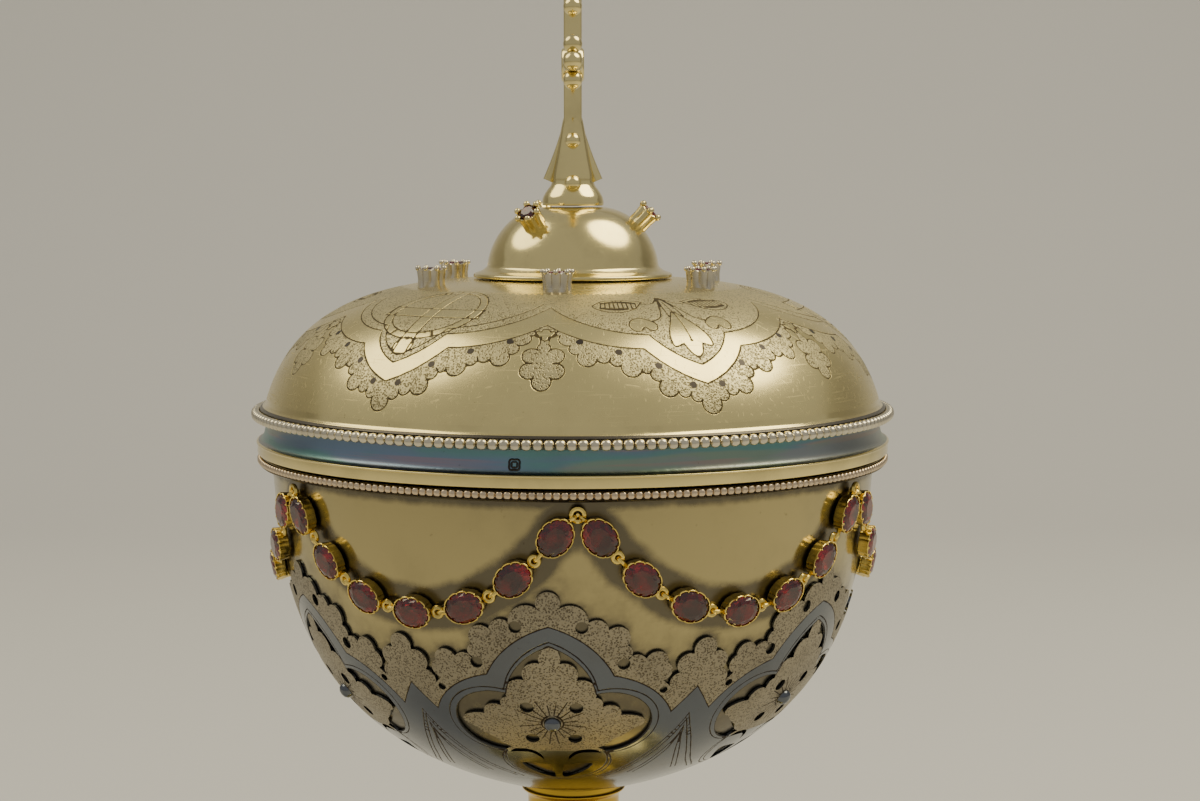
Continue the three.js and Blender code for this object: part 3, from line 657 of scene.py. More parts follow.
def add_piece(name, form, finishes, replaced=(), crease=35, smooth=True):
    """A mesh of the form with its materials and marks, riding on the ciborium's one body."""
    quads, triangles, whole, three = corners_of(form.faces)
    mesh = bpy.data.meshes.new(name)
    mesh.from_pydata((form.points * MM).tolist(), [], quads.tolist() + triangles.tolist())
    for finish in finishes:
        mesh.materials.append(finish)
    slots = np.concatenate([form.finish[whole], form.finish[three]]).astype(np.int32)
    mesh.polygons.foreach_set("material_index", slots)
    mesh.polygons.foreach_set("use_smooth", np.full(len(mesh.polygons), smooth))
    if smooth:
        mesh.set_sharp_from_angle(angle=math.radians(crease))
    for mark, values in form.marks.items():
        mesh.attributes.new(mark, "FLOAT", "POINT").data.foreach_set("value", values.astype(np.float32))
    mesh.update()
    piece = bpy.data.objects.new(name, mesh)
    bpy.context.scene.collection.objects.link(piece)
    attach(piece, "root")
    if replaced:
        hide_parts(*replaced)
    return piece


# Node groups and materials


class Nodes:
    """Adds nodes to a tree from left to right, with their values, and links their sockets."""

    def __init__(self, tree):
        self.tree = tree
        self.count = 0

    def add(self, kind, settings=None, **values):
        node = self.tree.nodes.new("ShaderNode" + kind)
        node.location = (220 * (self.count // 3), -260 * (self.count % 3))
        self.count += 1
        for name, value in (settings or {}).items():
            setattr(node, name, value)
        for name, value in values.items():
            self.set(node, name.replace("_", " "), value)
        return node

    def set(self, node, name, value):
        socket = node.inputs[int(name)] if name.isdigit() else node.inputs[name]
        if isinstance(value, bpy.types.NodeSocket):
            self.tree.links.new(value, socket)
        elif hasattr(value, "__len__") and len(value) == 3 and len(socket.default_value) == 4:
            socket.default_value = (*value, 1)
        else:
            socket.default_value = value

    def group(self, maker, **values):
        """A copy of a shared node group with its own values."""
        return self.add("Group", {"node_tree": shared_group(maker)}, **values)

    def math(self, operation, first, second=0.0, clamp=False):
        node = self.add("Math", {"operation": operation, "use_clamp": clamp})
        self.set(node, "0", first)
        self.set(node, "1", second)
        return node.outputs[0]

    def ramp(self, value, low, high, first=0.0, last=1.0):
        """Carries value from low..high onto first..last, smoothly."""
        node = self.add("MapRange", {"interpolation_type": "SMOOTHSTEP"})
        entries = {"Value": value, "From Min": low, "From Max": high, "To Min": first, "To Max": last}
        for name, entry in entries.items():
            self.set(node, name, entry)
        return node.outputs[0]

    def mix(self, share, first, second):
        node = self.add("Mix", {"data_type": "RGBA"})
        for name, entry in (("0", share), ("6", first), ("7", second)):
            self.set(node, name, entry)
        return node.outputs[2]

    def blend(self, share, first, second):
        node = self.add("Mix", {"data_type": "FLOAT"})
        for name, entry in (("0", share), ("2", first), ("3", second)):
            self.set(node, name, entry)
        return node.outputs[0]


def group(name, inputs, outputs):
    """An empty node group with its named sockets, and its two ends."""
    tree = bpy.data.node_groups.new(name, "ShaderNodeTree")
    for label, kind, default in inputs:
        socket = tree.interface.new_socket(label, in_out="INPUT", socket_type=kind)
        if default is not None:
            socket.default_value = default
    for label, kind in outputs:
        tree.interface.new_socket(label, in_out="OUTPUT", socket_type=kind)
    return tree, Nodes(tree), tree.nodes.new("NodeGroupInput"), tree.nodes.new("NodeGroupOutput")


VALUE, COLOUR, VECTOR = "NodeSocketFloat", "NodeSocketColor", "NodeSocketVector"


def hammered_ground():
    """Stippled ground: close round punch marks, by the distance to the nearest of many scattered points."""
    ends = [("Height", VALUE), ("Marks", VALUE)]
    tree, nodes, start, end = group("Stippled ground", [("Vector", VECTOR, None)], ends)
    place = start.outputs["Vector"]
    cells = nodes.add("TexVoronoi", {"feature": "F1"}, Vector=place, Scale=2700.0)
    coarse = nodes.add("TexNoise", Vector=place, Scale=1100.0, Detail=2.0)
    dimple = nodes.ramp(cells.outputs["Distance"], 0.3, 0.52)
    uneven = nodes.ramp(coarse.outputs["Fac"], 0.36, 0.52, 0.35, 1.0)
    marks = nodes.math("MULTIPLY", nodes.math("SUBTRACT", 1.0, dimple), uneven)
    tree.links.new(nodes.math("ADD", dimple, coarse.outputs["Fac"]), end.inputs["Height"])
    tree.links.new(marks, end.inputs["Marks"])
    return tree


def fine_scratches():
    """Fine scratches: noise drawn out long in three directions, of which only the crests are kept."""
    sockets = [("Vector", VECTOR, None), ("Amount", VALUE, 0.5)]
    tree, nodes, start, end = group("Fine scratches", sockets, [("Height", VALUE), ("Mask", VALUE)])
    layers = []
    spins = (0.3, 0.5, 0.2), (1.2, -0.4, 0.9), (0, 0, 0)
    stretches = (60, 2600, 900), (2200, 70, 1100), (90, 90, 3600)
    for spin, stretch in zip(spins, stretches):
        kind = {"vector_type": "POINT"}
        place = nodes.add("Mapping", kind, Vector=start.outputs["Vector"], Rotation=spin, Scale=stretch)
        streak = nodes.add("TexNoise", Vector=place.outputs[0], Scale=1.0, Detail=1.0)
        layers.append(nodes.ramp(streak.outputs["Fac"], 0.64, 0.76))
    all_layers = nodes.math("MAXIMUM", nodes.math("MAXIMUM", layers[0], layers[1]), layers[2])
    mask = nodes.math("MULTIPLY", all_layers, start.outputs["Amount"])
    tree.links.new(mask, end.inputs["Mask"])
    tree.links.new(nodes.math("SUBTRACT", 0.0, mask), end.inputs["Height"])
    return tree


def cut_lines():
    """Engraved lines: a groove and its dirt, from a mark that is 1 on the line and 0 half a millimetre away."""
    sockets = [("Nearness", VALUE, 0.0), ("Half width", VALUE, 0.2), ("Vector", VECTOR, None)]
    tree, nodes, start, end = group("Engraved lines", sockets, [("Height", VALUE), ("Dirt", VALUE)])
    gap = nodes.math("MULTIPLY", nodes.math("SUBTRACT", 1.0, start.outputs["Nearness"]), 0.5)
    wobble = nodes.add("TexNoise", Vector=start.outputs["Vector"], Scale=700.0, Detail=2.0)
    share = nodes.ramp(wobble.outputs["Fac"], 0.2, 0.8, 0.65, 1.3)
    width = nodes.math("MULTIPLY", start.outputs["Half width"], share)
    groove = nodes.ramp(nodes.math("DIVIDE", gap, width), 0.35, 1.3)
    tree.links.new(groove, end.inputs["Height"])
    tree.links.new(nodes.math("SUBTRACT", 1.0, groove), end.inputs["Dirt"])
    return tree


def tarnish_and_shade_film():
    """Tarnish film and painted shade: broad soft patches of tarnish broken up by finer ones, and a mottled edge
    where the bowl's mark of tarnish and painted shade falls off.
    """
    sockets = [("Vector", VECTOR, None), ("Halo", VALUE, 0.0), ("Amount", VALUE, 0.3)]
    tree, nodes, start, end = group("Tarnish film", sockets, [("Mask", VALUE), ("Spots", VALUE)])
    broad = nodes.add("TexNoise", Vector=start.outputs["Vector"], Scale=70.0, Detail=5.0, Roughness=0.62)
    edge = nodes.add("TexNoise", Vector=start.outputs["Vector"], Scale=260.0, Detail=4.0, Roughness=0.6)
    fine = nodes.add("TexNoise", Vector=start.outputs["Vector"], Scale=900.0, Detail=4.0, Roughness=0.7)
    patches = nodes.math("MULTIPLY", nodes.ramp(broad.outputs["Fac"], 0.42, 0.72), start.outputs["Amount"])
    uneven = nodes.math("MULTIPLY", nodes.math("SUBTRACT", edge.outputs["Fac"], 0.5), 0.7)
    rim = nodes.ramp(nodes.math("ADD", start.outputs["Halo"], uneven), 0.12, 0.9)
    held = nodes.math("MULTIPLY", rim, nodes.ramp(start.outputs["Halo"], 0.02, 0.3))
    tree.links.new(nodes.math("ADD", patches, held, clamp=True), end.inputs["Mask"])
    tree.links.new(nodes.ramp(fine.outputs["Fac"], 0.66, 0.74), end.inputs["Spots"])
    return tree


def heat_film():
    """Heat film: long level streaks of blue-green, blue and violet over the bare metal."""
    colours = bpy.context.scene.ciborium_finishes
    tree, nodes, start, end = group("Heat film", [("Vector", VECTOR, None)], [("Colour", COLOUR), ("Mask", VALUE)])
    shares = []
    for shift, stretch in ((0.0, (30, 30, 240)), (3.7, (22, 22, 700)), (9.1, (35, 35, 520)), (5.3, (18, 18, 130))):
        place = nodes.add("Mapping", Vector=start.outputs["Vector"], Location=(shift, shift, shift), Scale=stretch)
        shares.append(nodes.add("TexNoise", Vector=place.outputs[0], Scale=1.0, Detail=3.0).outputs["Fac"])
    colour = nodes.mix(nodes.ramp(shares[0], 0.42, 0.56), tuple(colours.teal_film), tuple(colours.blue_film))
    colour = nodes.mix(nodes.ramp(shares[1], 0.52, 0.68, 0.0, 0.8), colour, tuple(colours.violet_film))
    tree.links.new(colour, end.inputs["Colour"])
    bare = nodes.math("MULTIPLY", nodes.ramp(shares[3], 0.4, 0.52), nodes.ramp(shares[2], 0.3, 0.5, 0.75, 1.0))
    tree.links.new(nodes.ramp(bare, 0.0, 0.8, 0.62, 0.97), end.inputs["Mask"])
    return tree


def shared_group(maker):
    """The node group of that maker, made once."""
    if maker not in GROUPS:
        GROUPS[maker] = maker()
    return GROUPS[maker]


# What is made once and then shared
GROUPS = {}
MATERIALS = {}

# Depths in metres that the bump maps stand for: a scratch, the hollow of a punch mark and an engraved line
SCRATCH_DEPTH = 0.0000012
PUNCH_DEPTH = 0.00006
CUT_DEPTH = 0.0001
# How each metal finish is worn, or painted with shade or a dark reflection: its colour, roughness, share of tarnish
# and scratches, and what is cut into it
LOOKS = {
    "lid_gilt": {"colour": "pale_gilt", "roughness": 0.23, "tarnish": 0.16, "scratches": 1.0, "line": 0.13},
    "lid_ground": {
        "colour": "worn_silver", "roughness": 0.3, "tarnish": 0.3, "scratches": 0.2, "stipple": 0.85, "line": 0.15
    },
    "pit_shadow": {"colour": "pit_grey", "roughness": 0.4, "tarnish": 0.2, "scratches": 0.0},
    "plain_gilt": {"colour": "pale_gilt", "roughness": 0.15, "tarnish": 0.25, "scratches": 0.6},
    # Tarnish and a painted reflection of dark surroundings darken the bowl's gilding
    "bowl_gilt": {"colour": "bowl_gilt", "roughness": 0.13, "tarnish": 0.16, "scratches": 0.6, "halo": True},
    # Painted reflection: the calyx's polished silver is painted dark blue-grey for the surroundings it would mirror
    "worn_band": {"colour": "polished_silver_painted_reflection", "roughness": 0.15, "tarnish": 0.25, "scratches": 0.6, "line": 0.12},
    "calyx_ground": {
        "colour": "calyx_silver", "roughness": 0.33, "tarnish": 0.3, "scratches": 0.2, "stipple": 0.8, "line": 0.12
    },
    "bead_silver": {"colour": "bead_silver", "roughness": 0.22, "tarnish": 0.3, "scratches": 0.3},
    "rim_bronze": {"colour": "rim_bronze", "roughness": 0.24, "tarnish": 0.3, "scratches": 0.3},
    # Painted shade: the dark seats behind the beads of the cup and the lid, in the tarnish colour
    "rim_shadow": {"colour": "tarnish", "roughness": 0.3, "tarnish": 0.5, "scratches": 0.3},
    "lid_band": {"colour": "bowl_gilt", "roughness": 0.3, "tarnish": 0.1, "scratches": 0.7, "film": True},
    "deep_gilt": {"colour": "deep_gilt", "roughness": 0.13, "tarnish": 0.12, "scratches": 0.4},
    "chain_gold": {"colour": "chain_gold", "roughness": 0.2, "tarnish": 0.3, "scratches": 0.3},
}


def finish(name):
    """A metal with tarnish and scratches and, by its look, stippling, engraved lines or a coloured film."""
    if name in MATERIALS:
        return MATERIALS[name]
    look, colours = LOOKS[name], bpy.context.scene.ciborium_finishes
    material = bpy.data.materials.new(name)
    material.use_nodes = True
    tree = material.node_tree
    shader = tree.nodes["Principled BSDF"]
    shader.location = (2600, 0)
    tree.nodes["Material Output"].location = (2900, 0)
    nodes = Nodes(tree)
    place = nodes.add("TexCoord").outputs["Object"]
    dirt = tuple(colours.dirt)
    base, rough = tuple(getattr(colours, look["colour"])), look["roughness"]
    if look.get("film"):
        film = nodes.group(heat_film, Vector=place)
        base = nodes.mix(film.outputs["Mask"], base, film.outputs["Colour"])
    marks = nodes.group(tarnish_and_shade_film, Vector=place, Amount=look["tarnish"])
    # On the bowl the mask also carries painted shade: under the garland, along the calyx's crest, below the rim and
    # behind the calyx
    if look.get("halo"):
        nodes.set(marks, "Halo", nodes.add("Attribute", {"attribute_name": "halo"}).outputs["Fac"])
    streaks = nodes.group(fine_scratches, Vector=place, Amount=look["scratches"])
    base = nodes.mix(nodes.math("MULTIPLY", marks.outputs["Mask"], 0.85), base, tuple(colours.tarnish))
    base = nodes.mix(nodes.math("MULTIPLY", marks.outputs["Spots"], 0.35), base, dirt)
    rough = nodes.blend(marks.outputs["Mask"], rough, rough + 0.16)
    rough = nodes.math("ADD", rough, nodes.math("MULTIPLY", streaks.outputs["Mask"], 0.12))
    height = nodes.math("MULTIPLY", streaks.outputs["Height"], SCRATCH_DEPTH)
    if "stipple" in look:
        ground = nodes.group(hammered_ground, Vector=place)
        rough = nodes.math("ADD", rough, 0.1)
        base = nodes.mix(nodes.math("MULTIPLY", ground.outputs["Marks"], 0.85 * look["stipple"]), base, dirt)
        punched = nodes.math("MULTIPLY", ground.outputs["Height"], PUNCH_DEPTH * look["stipple"])
        height = nodes.math("ADD", height, punched)
    if "line" in look:
        line = nodes.add("Attribute", {"attribute_name": "line"})
        cuts = nodes.group(cut_lines, Nearness=line.outputs["Fac"], Half_width=look["line"], Vector=place)
        base = nodes.mix(nodes.math("MULTIPLY", cuts.outputs["Dirt"], 0.92), base, dirt)
        rough = nodes.blend(cuts.outputs["Dirt"], rough, 0.6)
        height = nodes.math("ADD", height, nodes.math("MULTIPLY", cuts.outputs["Height"], CUT_DEPTH))
    bump = nodes.add("Bump", Strength=1.0, Distance=1.0, Height=height)
    tree.links.new(base, shader.inputs["Base Color"])
    tree.links.new(rough, shader.inputs["Roughness"])
    tree.links.new(bump.outputs["Normal"], shader.inputs["Normal"])
    shader.inputs["Metallic"].default_value = 1.0
    MATERIALS[name] = material
    return material


def garnet_finish():
    """Garnet: a clear deep red glass with faint cloudy veils."""
    if "garnet" in MATERIALS:
        return MATERIALS["garnet"]
    material = bpy.data.materials.new("garnet")
    material.use_nodes = True
    tree = material.node_tree
    shader = tree.nodes["Principled BSDF"]
    nodes = Nodes(tree)
    place = nodes.add("TexCoord").outputs["Object"]
    veils = nodes.add("TexNoise", Vector=place, Scale=350.0, Detail=3.0)
    red = tuple(bpy.context.scene.ciborium_finishes.garnet)
    deep = tuple(part * 0.3 for part in red)
    tree.links.new(nodes.mix(nodes.ramp(veils.outputs["Fac"], 0.4, 0.58), red, deep), shader.inputs["Base Color"])
    grease = nodes.add("TexNoise", Vector=place, Scale=1200.0, Detail=3.0)
    tree.links.new(nodes.ramp(grease.outputs["Fac"], 0.45, 0.8, 0.03, 0.12), shader.inputs["Roughness"])
    shader.inputs["IOR"].default_value = 1.76
    shader.inputs["Transmission Weight"].default_value = 0.85
    MATERIALS["garnet"] = material
    return material


# Stones and settings


def oval(a, share, x_radius, y_radius, height):
    """A ring of points: (share x_radius cos a, share y_radius sin a, height)."""
    level = np.broadcast_to(height, a.shape)
    return np.column_stack([share * np.cos(a) * x_radius, share * np.sin(a) * y_radius, level])


def cut_stone(x_radius, y_radius, crown, pavilion, sides=16):
    """A faceted stone on its girdle, z = 0: rings of points whose radius is that of an eight-sided figure,
    with its corners turned half a side from ring to ring, above a pavilion that narrows to a point."""
    a = np.arange(sides) * FULL_TURN / sides
    half = math.cos(FULL_TURN / sides)
    at_even = np.where(np.arange(sides) % 2 == 0, 1.0, half)
    at_odd = np.where(np.arange(sides) % 2 == 1, 1.0, half)
    rings = [
        (np.zeros(sides), crown),
        (0.62 * at_even, crown),
        (0.86 * at_odd, crown * 0.62),
        (np.ones(sides), 0.06),
        (np.ones(sides), -0.06),
        (0.62 * at_even, -pavilion * 0.45),
        (np.zeros(sides), -pavilion),
    ]
    points = np.stack([oval(a, r, x_radius, y_radius, z) for r, z in rings])
    return outward(sealed(grid(points, False, True)))


def add_stones(owner, stone, spots, labels):
    """A piece of its own for the stone in every setting, named by its owner and its label."""
    for index, label in enumerate(labels):
        place = (spots[0][index : index + 1], spots[1][index : index + 1])
        replaced = [f"{owner}_garnet_{label}"]
        name = f"{owner}_stone_{label}"
        add_piece(name, set_out(stone, place), [garnet_finish()], replaced, smooth=False)


def setting_sizes(x_radius, y_radius, height, rim, gap=0.3):
    """The stone of a collet with a cone seat: the same shares as in the packed model."""
    small = min(x_radius, y_radius)
    seat = height * 0.75
    share = (small - rim) / small
    lift = gap * math.hypot(1, seat / small)
    return {
        "x_radius": x_radius * share,
        "y_radius": y_radius * share,
        "crown": height * 0.37,
        "pavilion": seat * share,
        "girdle": height - seat * (1 - share) + lift,
    }


def notched_collet(x_radius, y_radius, height, seat, claws, depth=0.06, sides=72, tips=0.1):
    """An open collet on z = 0: its radius is cut back by depth cos^12 at each claw, its upper edge rises there
    by tips cos^2, and a cone seat goes down inside it."""
    a = np.arange(sides) * FULL_TURN / sides
    wave = np.cos(a * claws / 2) ** 2
    notch, crest = wave**6, wave**2
    profile = [
        (0.0, 0.0, 0), (0.84, 0.0, 0), (0.90, 0.06, 0.6), (0.93, 0.45, 1), (0.96, 0.82, 1),
        (0.985, 0.95, 0.8), (0.965, 1.0, 0.6), (0.915, 0.98, 0.3), (0.885, 0.8, 0),
    ]
    rows = []
    for share, level, ripple in profile:
        radius = share * (1 - depth * ripple * notch)
        lift = height * level + tips * crest * (level > 0.9)
        rows.append(oval(a, radius, x_radius, y_radius, lift))
    rows += [oval(a, share, x_radius, y_radius, height - seat) for share in (0.05, 0)]
    return outward(sealed(grid(np.stack(rows), True, True)))


def ribbed_crown(radius, height, seat, ribs, tip):
    """A crown on z = 0 of round ribs that end in balls: its radius is cut back by 0.16 (1 - |cos|) between
    them, and a seat goes down inside."""
    sides = ribs * 8
    a = np.arange(sides) * FULL_TURN / sides
    swell = np.abs(np.cos(a * ribs / 2))
    profile = [
        (0.0, 0.0, 0), (0.82, 0.0, 0.3), (0.86, 0.08, 1), (0.84, 0.5, 1), (0.90, 0.85, 1), (0.90, 0.97, 0.8),
        (0.78, 1.0, 0.3), (0.70, 0.9, 0),
    ]
    rows = []
    for share, level, ripple in profile:
        r = share * radius * (1 - 0.16 * ripple * (1 - swell))
        rows.append(oval(a, r, 1, 1, height * level + 0.25 * (swell - 0.7) * (level > 0.9)))
    rows += [oval(a, share * radius, 1, 1, height - seat) for share in (0.05, 0)]
    crown = outward(sealed(grid(np.stack(rows), True, True)))
    return together(crown, claw_ring(radius * 0.86, radius * 0.86, height + 0.12, ribs, tip))


def claw_ring(x_radius, y_radius, height, count, size):
    """Small round claw tips around the edge of a setting, leaning in over the stone."""
    a = np.arange(count) * FULL_TURN / count
    out = np.column_stack([np.cos(a), np.sin(a), 0 * a])
    origins = out * [x_radius, y_radius, 0] + [0, 0, height]
    return set_out(ball(size, 8, 6), places(origins, out, np.tile([0.0, 0, 1], (count, 1))))


# Operators, one for each piece or group of like pieces


class CIBORIUM_OT_foot(bpy.types.Operator):
    """Foot: a beaded rim, a low dome and a trumpet that rises to the knop"""

    bl_idname = "ciborium.foot"
    bl_label = "Foot"

    def execute(self, context):
        stem = sizes("ciborium_stem")
        top, radius = stem.foot_height, stem.foot_radius
        dome = Curve([(32, 16.5), (42.08, 16.5), (radius - 3.6, 11.446), (radius - 2.6, 4.2)])
        trumpet = Curve([(7.6, 50), (7.6, 33.25), (14.92, 18), (30, 18)])
        head = eased([(0, top), (9.6, top), (10.8, top - 3), (9.4, top - 5.6), (7.9, top - 6.6), (7.6, 50)], 0.9)
        shoulder = eased([(30, 18), (30.9, 17.9), (31.3, 17.2), (32, 16.5)], 0.4)
        inset = radius - 2.6
        edge = [(inset, 4.2), (inset, 3.4), (radius - 1.6, 3.2), (radius, 2.9), (radius, 0), (radius - 3, 0)]
        rim = eased(edge, 0.5)
        inside_dome = dome.rows(24, -1.3)[::-1]
        inside_trumpet = trumpet.rows(30, -1.3)[::-1]
        outside = [head, trumpet.rows(60)[1:], shoulder[1:], dome.rows(60)[1:], rim[1:]]
        profile = np.concatenate(outside + [inside_dome, inside_trumpet[:-1], [(0, 44)]])
        shell = turned(profile, 288)
        beads = set_out(ball(0.62), ring_places(stem.foot_beads, radius - 2.15, 4.05))
        add_piece("foot_gilt", together(shell, beads), [finish("plain_gilt")], ["foot"])
        return {"FINISHED"}


class CIBORIUM_OT_knop(bpy.types.Operator):
    """Knop: two fluted halves and a band of round studs between them"""

    bl_idname = "ciborium.knop"
    bl_label = "Knop"

    def execute(self, context):
        stem = sizes("ciborium_stem")
        base, height, radius = stem.knop_base, stem.knop_height, stem.knop_radius
        half = [
            (0, 0), (9, 0), (10, 0.7), (10, 1.6), (9.1, 2.6), (10.4, 3.4), (13.6, 4.6), (16.2, 6.6),
            (17.9, 9.2), (18.1, 10.6), (radius, 11.2),
        ]
        lower = eased(half, 0.8)
        upper = (lower * [1, -1] + [0, height])[::-1]
        profile = np.concatenate([lower, upper])
        sides = 320
        a = np.arange(sides) * FULL_TURN / sides
        r, z = profile.T[:, :, None]
        inwards = np.minimum(z, height - z)
        swell = np.clip((inwards - 3.2) / 2, 0, 1) * np.clip((10.4 - inwards) / 1.5, 0, 1)
        r = r * (1 - 0.055 * swell * (1 - np.abs(np.cos(a * stem.knop_flutes / 2))))
        points = np.stack(np.broadcast_arrays(r * np.cos(a), r * np.sin(a), z + base), -1)
        shell = outward(sealed(grid(points, True, True)))
        studs = set_out(ball(1.1, 12, 8), ring_places(stem.knop_flutes, radius - 0.75, base + height / 2))
        add_piece("knop_gilt", together(shell, studs), [finish("deep_gilt")], ["knop"])
        return {"FINISHED"}


class CIBORIUM_OT_collar(bpy.types.Operator):
    """Collar: the slim upper stem, the drum under the bowl and the spigot that the bowl rests on"""

    bl_idname = "ciborium.collar"
    bl_label = "Collar"

    def execute(self, context):
        stem = sizes("ciborium_stem")
        base, height = stem.collar_base, stem.collar_height
        flange = height - 1.6
        drum_top, drum_base = flange - 1.2, flange - 10.2
        profile = eased([
            (0, 0), (9, 0), (10, 0.7), (10, 1.6), (9, 2.4), (7.4, 3.2), (6.8, 4.6),
            (6.8, drum_base - 3), (7.6, drum_base - 1.9), (9.6, drum_base - 1.2), (9.6, drum_base - 0.5),
            (8.7, drum_base + 0.3), (8.7, drum_top - 0.4), (9.1, drum_top + 0.3),
            (9.9, flange - 0.25), (9.9, flange), (9.2, flange), (9.2, height), (0, height),
        ], 0.6, 5)
        shell = turned(profile + [0, base], 160)
        add_piece("collar_gilt", shell, [finish("deep_gilt")], ["collar"])
        return {"FINISHED"}


# The cup's finishes in the order of its material slots, and the three radii of a bead on its rim
CUP_FINISHES = ("bowl_gilt", "rim_bronze", "rim_shadow")
CUP_BEAD = (0.6, 0.72, 0.63)


class CIBORIUM_OT_cup(bpy.types.Operator):
    """Cup: the plain bowl, its rim and the ring of fine beads, with the marks of tarnish and painted shade around
    the garland
    """

    bl_idname = "ciborium.cup"
    bl_label = "Cup"

    def execute(self, context):
        cup = sizes("ciborium_cup")
        wall = bowl_wall(cup)
        mouth, base = cup.mouth_height, cup.mouth_height - cup.depth
        top, edge = mouth + cup.rim_height, cup.mouth_radius + cup.rim_projection
        inner = cup.mouth_radius - cup.wall
        rim = [
            (cup.mouth_radius, mouth), (edge - 1.7, mouth + 0.08), (edge - 0.7, mouth + 0.3),
            (edge - 0.45, mouth + 0.5), (edge - 0.7, mouth + 0.75),
        ]
        lip = eased([(edge - 0.75, mouth + 1.8), (edge - 1.0, top), (inner, top), (inner, mouth)], 0.25)
        outside = wall.rows(130)[::-1]
        inside_wall = wall.rows(50, -cup.wall)
        profile = np.concatenate([[(0, base)], outside, rim[1:], lip, inside_wall[1:], [(0, base + cup.wall)]])
        shell = turned(profile, 288)
        # Tarnish and painted shade on the bowl, kept as a mark at its points
        shell.marks["halo"] = garland_tarnish_and_shade(shell.points, wall)
        middles = shell.points[shell.faces].mean(axis=1)
        on_rim = (np.hypot(middles[:, 0], middles[:, 1]) > cup.mouth_radius + 0.2) & (middles[:, 2] > mouth)
        shell.finish[on_rim] = CUP_FINISHES.index("rim_shadow")
        bead = full_bead(*CUP_BEAD, 0.74, 10, 6)
        beads = set_out(bead, ring_places(cup.rim_beads, edge - 0.6, mouth + 1.32))
        beads.finish[:] = CUP_FINISHES.index("rim_bronze")
        finishes = [finish(name) for name in CUP_FINISHES]
        add_piece("cup_gilt", together(shell, beads), finishes, ["cup"])
        return {"FINISHED"}


def garland_tarnish_and_shade(points, wall):
    """Tarnish and painted shade on the bowl: 1 under the garland and along the calyx's crest, fading over a few
    millimetres; also below the rim, between the garland and the crest, and behind the calyx's sheet.
    """
    garland, calyx = sizes("ciborium_garland"), sizes("ciborium_calyx")
    radius = np.hypot(points[:, 0], points[:, 1])
    depth = np.interp(points[:, 2], wall.points[::-1, 1], wall.reach[::-1])
    angle = np.degrees(np.arctan2(points[:, 1], points[:, 0]))
    outer = radius > wall.at(depth)[0] - 0.5
    swag = 360 / garland.swags
    local = (angle - math.degrees(garland.turn)) % swag - swag / 2
    curve = np.linspace(-swag / 2, swag / 2, 81)
    line = np.column_stack([curve, swag_depth(garland, curve)])
    flat = np.column_stack([local, depth])
    away = distance(flat, [line], wall)
    lobe = 360 / calyx.lobes
    turned_by = (angle - math.degrees(calyx.turn) + lobe / 2) % lobe - lobe / 2
    crest = half_line(CALYX_CREST, wall.degree_width)
    below = distance(np.column_stack([np.abs(turned_by), depth]), [crest], wall)
    near_chain = fade(away, 2.8, 2.6)
    near_crest = fade(below, 0, 2.2) * 0.75
    near_rim = fade(depth, 0.3, 1.8) * 0.9
    between = np.clip((depth - swag_depth(garland, local) - 3) / 4, 0, 1) * fade(below, 0, 9) * 0.5
    # Painted shade: the bowl behind the calyx's sheet is made dark
    under = np.where(depth > crest_depth(turned_by, crest) + 1, 0.8, 0)
    marks = np.maximum.reduce([near_chain, near_crest, near_rim, between, under])
    return np.where(outer & (points[:, 2] < wall.points[0, 1] + 0.5), marks, 0)


# Half of a lobe in degrees: both drawings are of lobes from -30 to 30; the lid's is spread to fit the lobes' number
HALF_LOBE = 30
# On the calyx: the middle of each flower and the lower end of its stippled ground, as depths
FLOWER_CENTRE = 41.4
GROUND_END = 49.3
GROUND_END_ANGLE = 4.9
# The calyx's crest as notches between its leaf buds: angle, depth and the rise of the bud that follows
CALYX_CREST = [
    (-1.95, 18.2, 3.0), (1.95, 18.2, 1.7), (7.2, 20.7, 1.1), (10.9, 22.1, 2.0), (14.4, 25.0, 1.0),
    (14.4, 28.0, 1.0), (18.2, 27.7, 1.8), (22.6, 28.8, 1.2), (22.2, 32.3, 0.0), (23.8, 33.6, 0.7),
    (25.4, 31.0, 1.7), (27.8, 27.4, 2.9), (32.2, 27.4, 0.0),
]
CALYX_HOLES = [(6.0, 21.6, 1.1), (14.0, 28.6, 1.1), (22.6, 34.3, 0.7)]
CALYX_BAND = [(0, 21.5, 1.5), (12.3, 30.9, 1.6), (25.5, 39.5, 0), (30, 34.2, 0)]
CALYX_FRAME = [(0, 25.1, 1.6), (9.0, 34.7, 8.6), (12.0, 49.6, 4.0), (0, 61.2, 0)]
CALYX_FRAME_LINE = [(0, 24.3, 1.7), (9.3, 33.9, 9.3), (13.0, 50.0, 4.2), (0, 62.1, 0)]
CALYX_FLOWER = [
    (-1.75, 26.4, 1.7), (1.75, 26.4, 0.2), (1.9, 28.4, 1.5), (5.0, 31.8, 1.6), (8.9, 35.4, 0.6),
    (10.4, 37.5, 1.3), (14.5, 39.5, 0.3), (19.2, 40.3, 0.9), (18.5, 42.6, 0.2), (13.8, 45.8, 0.4),
    (10.2, 48.3, 0.3), (13.4, 50.6, 0), (14.0, 62.0, 0), (0, 64.0, 0),
]
CALYX_FLOWER_HOLES = [(5.1, 37.7, 1.2), (4.9, 45.5, 1.2)]
CALYX_CRESCENT = [
    (11.6, 50.2), (9.6, 49.9), (8.0, 49.9), (6.2, 50.0), (4.9, 50.7), (4.0, 51.6), (3.2, 52.6), (3.4, 51.2),
    (4.2, 50.1), (5.2, 49.3), (6.6, 48.9), (8.2, 48.8), (10.0, 49.0),
]
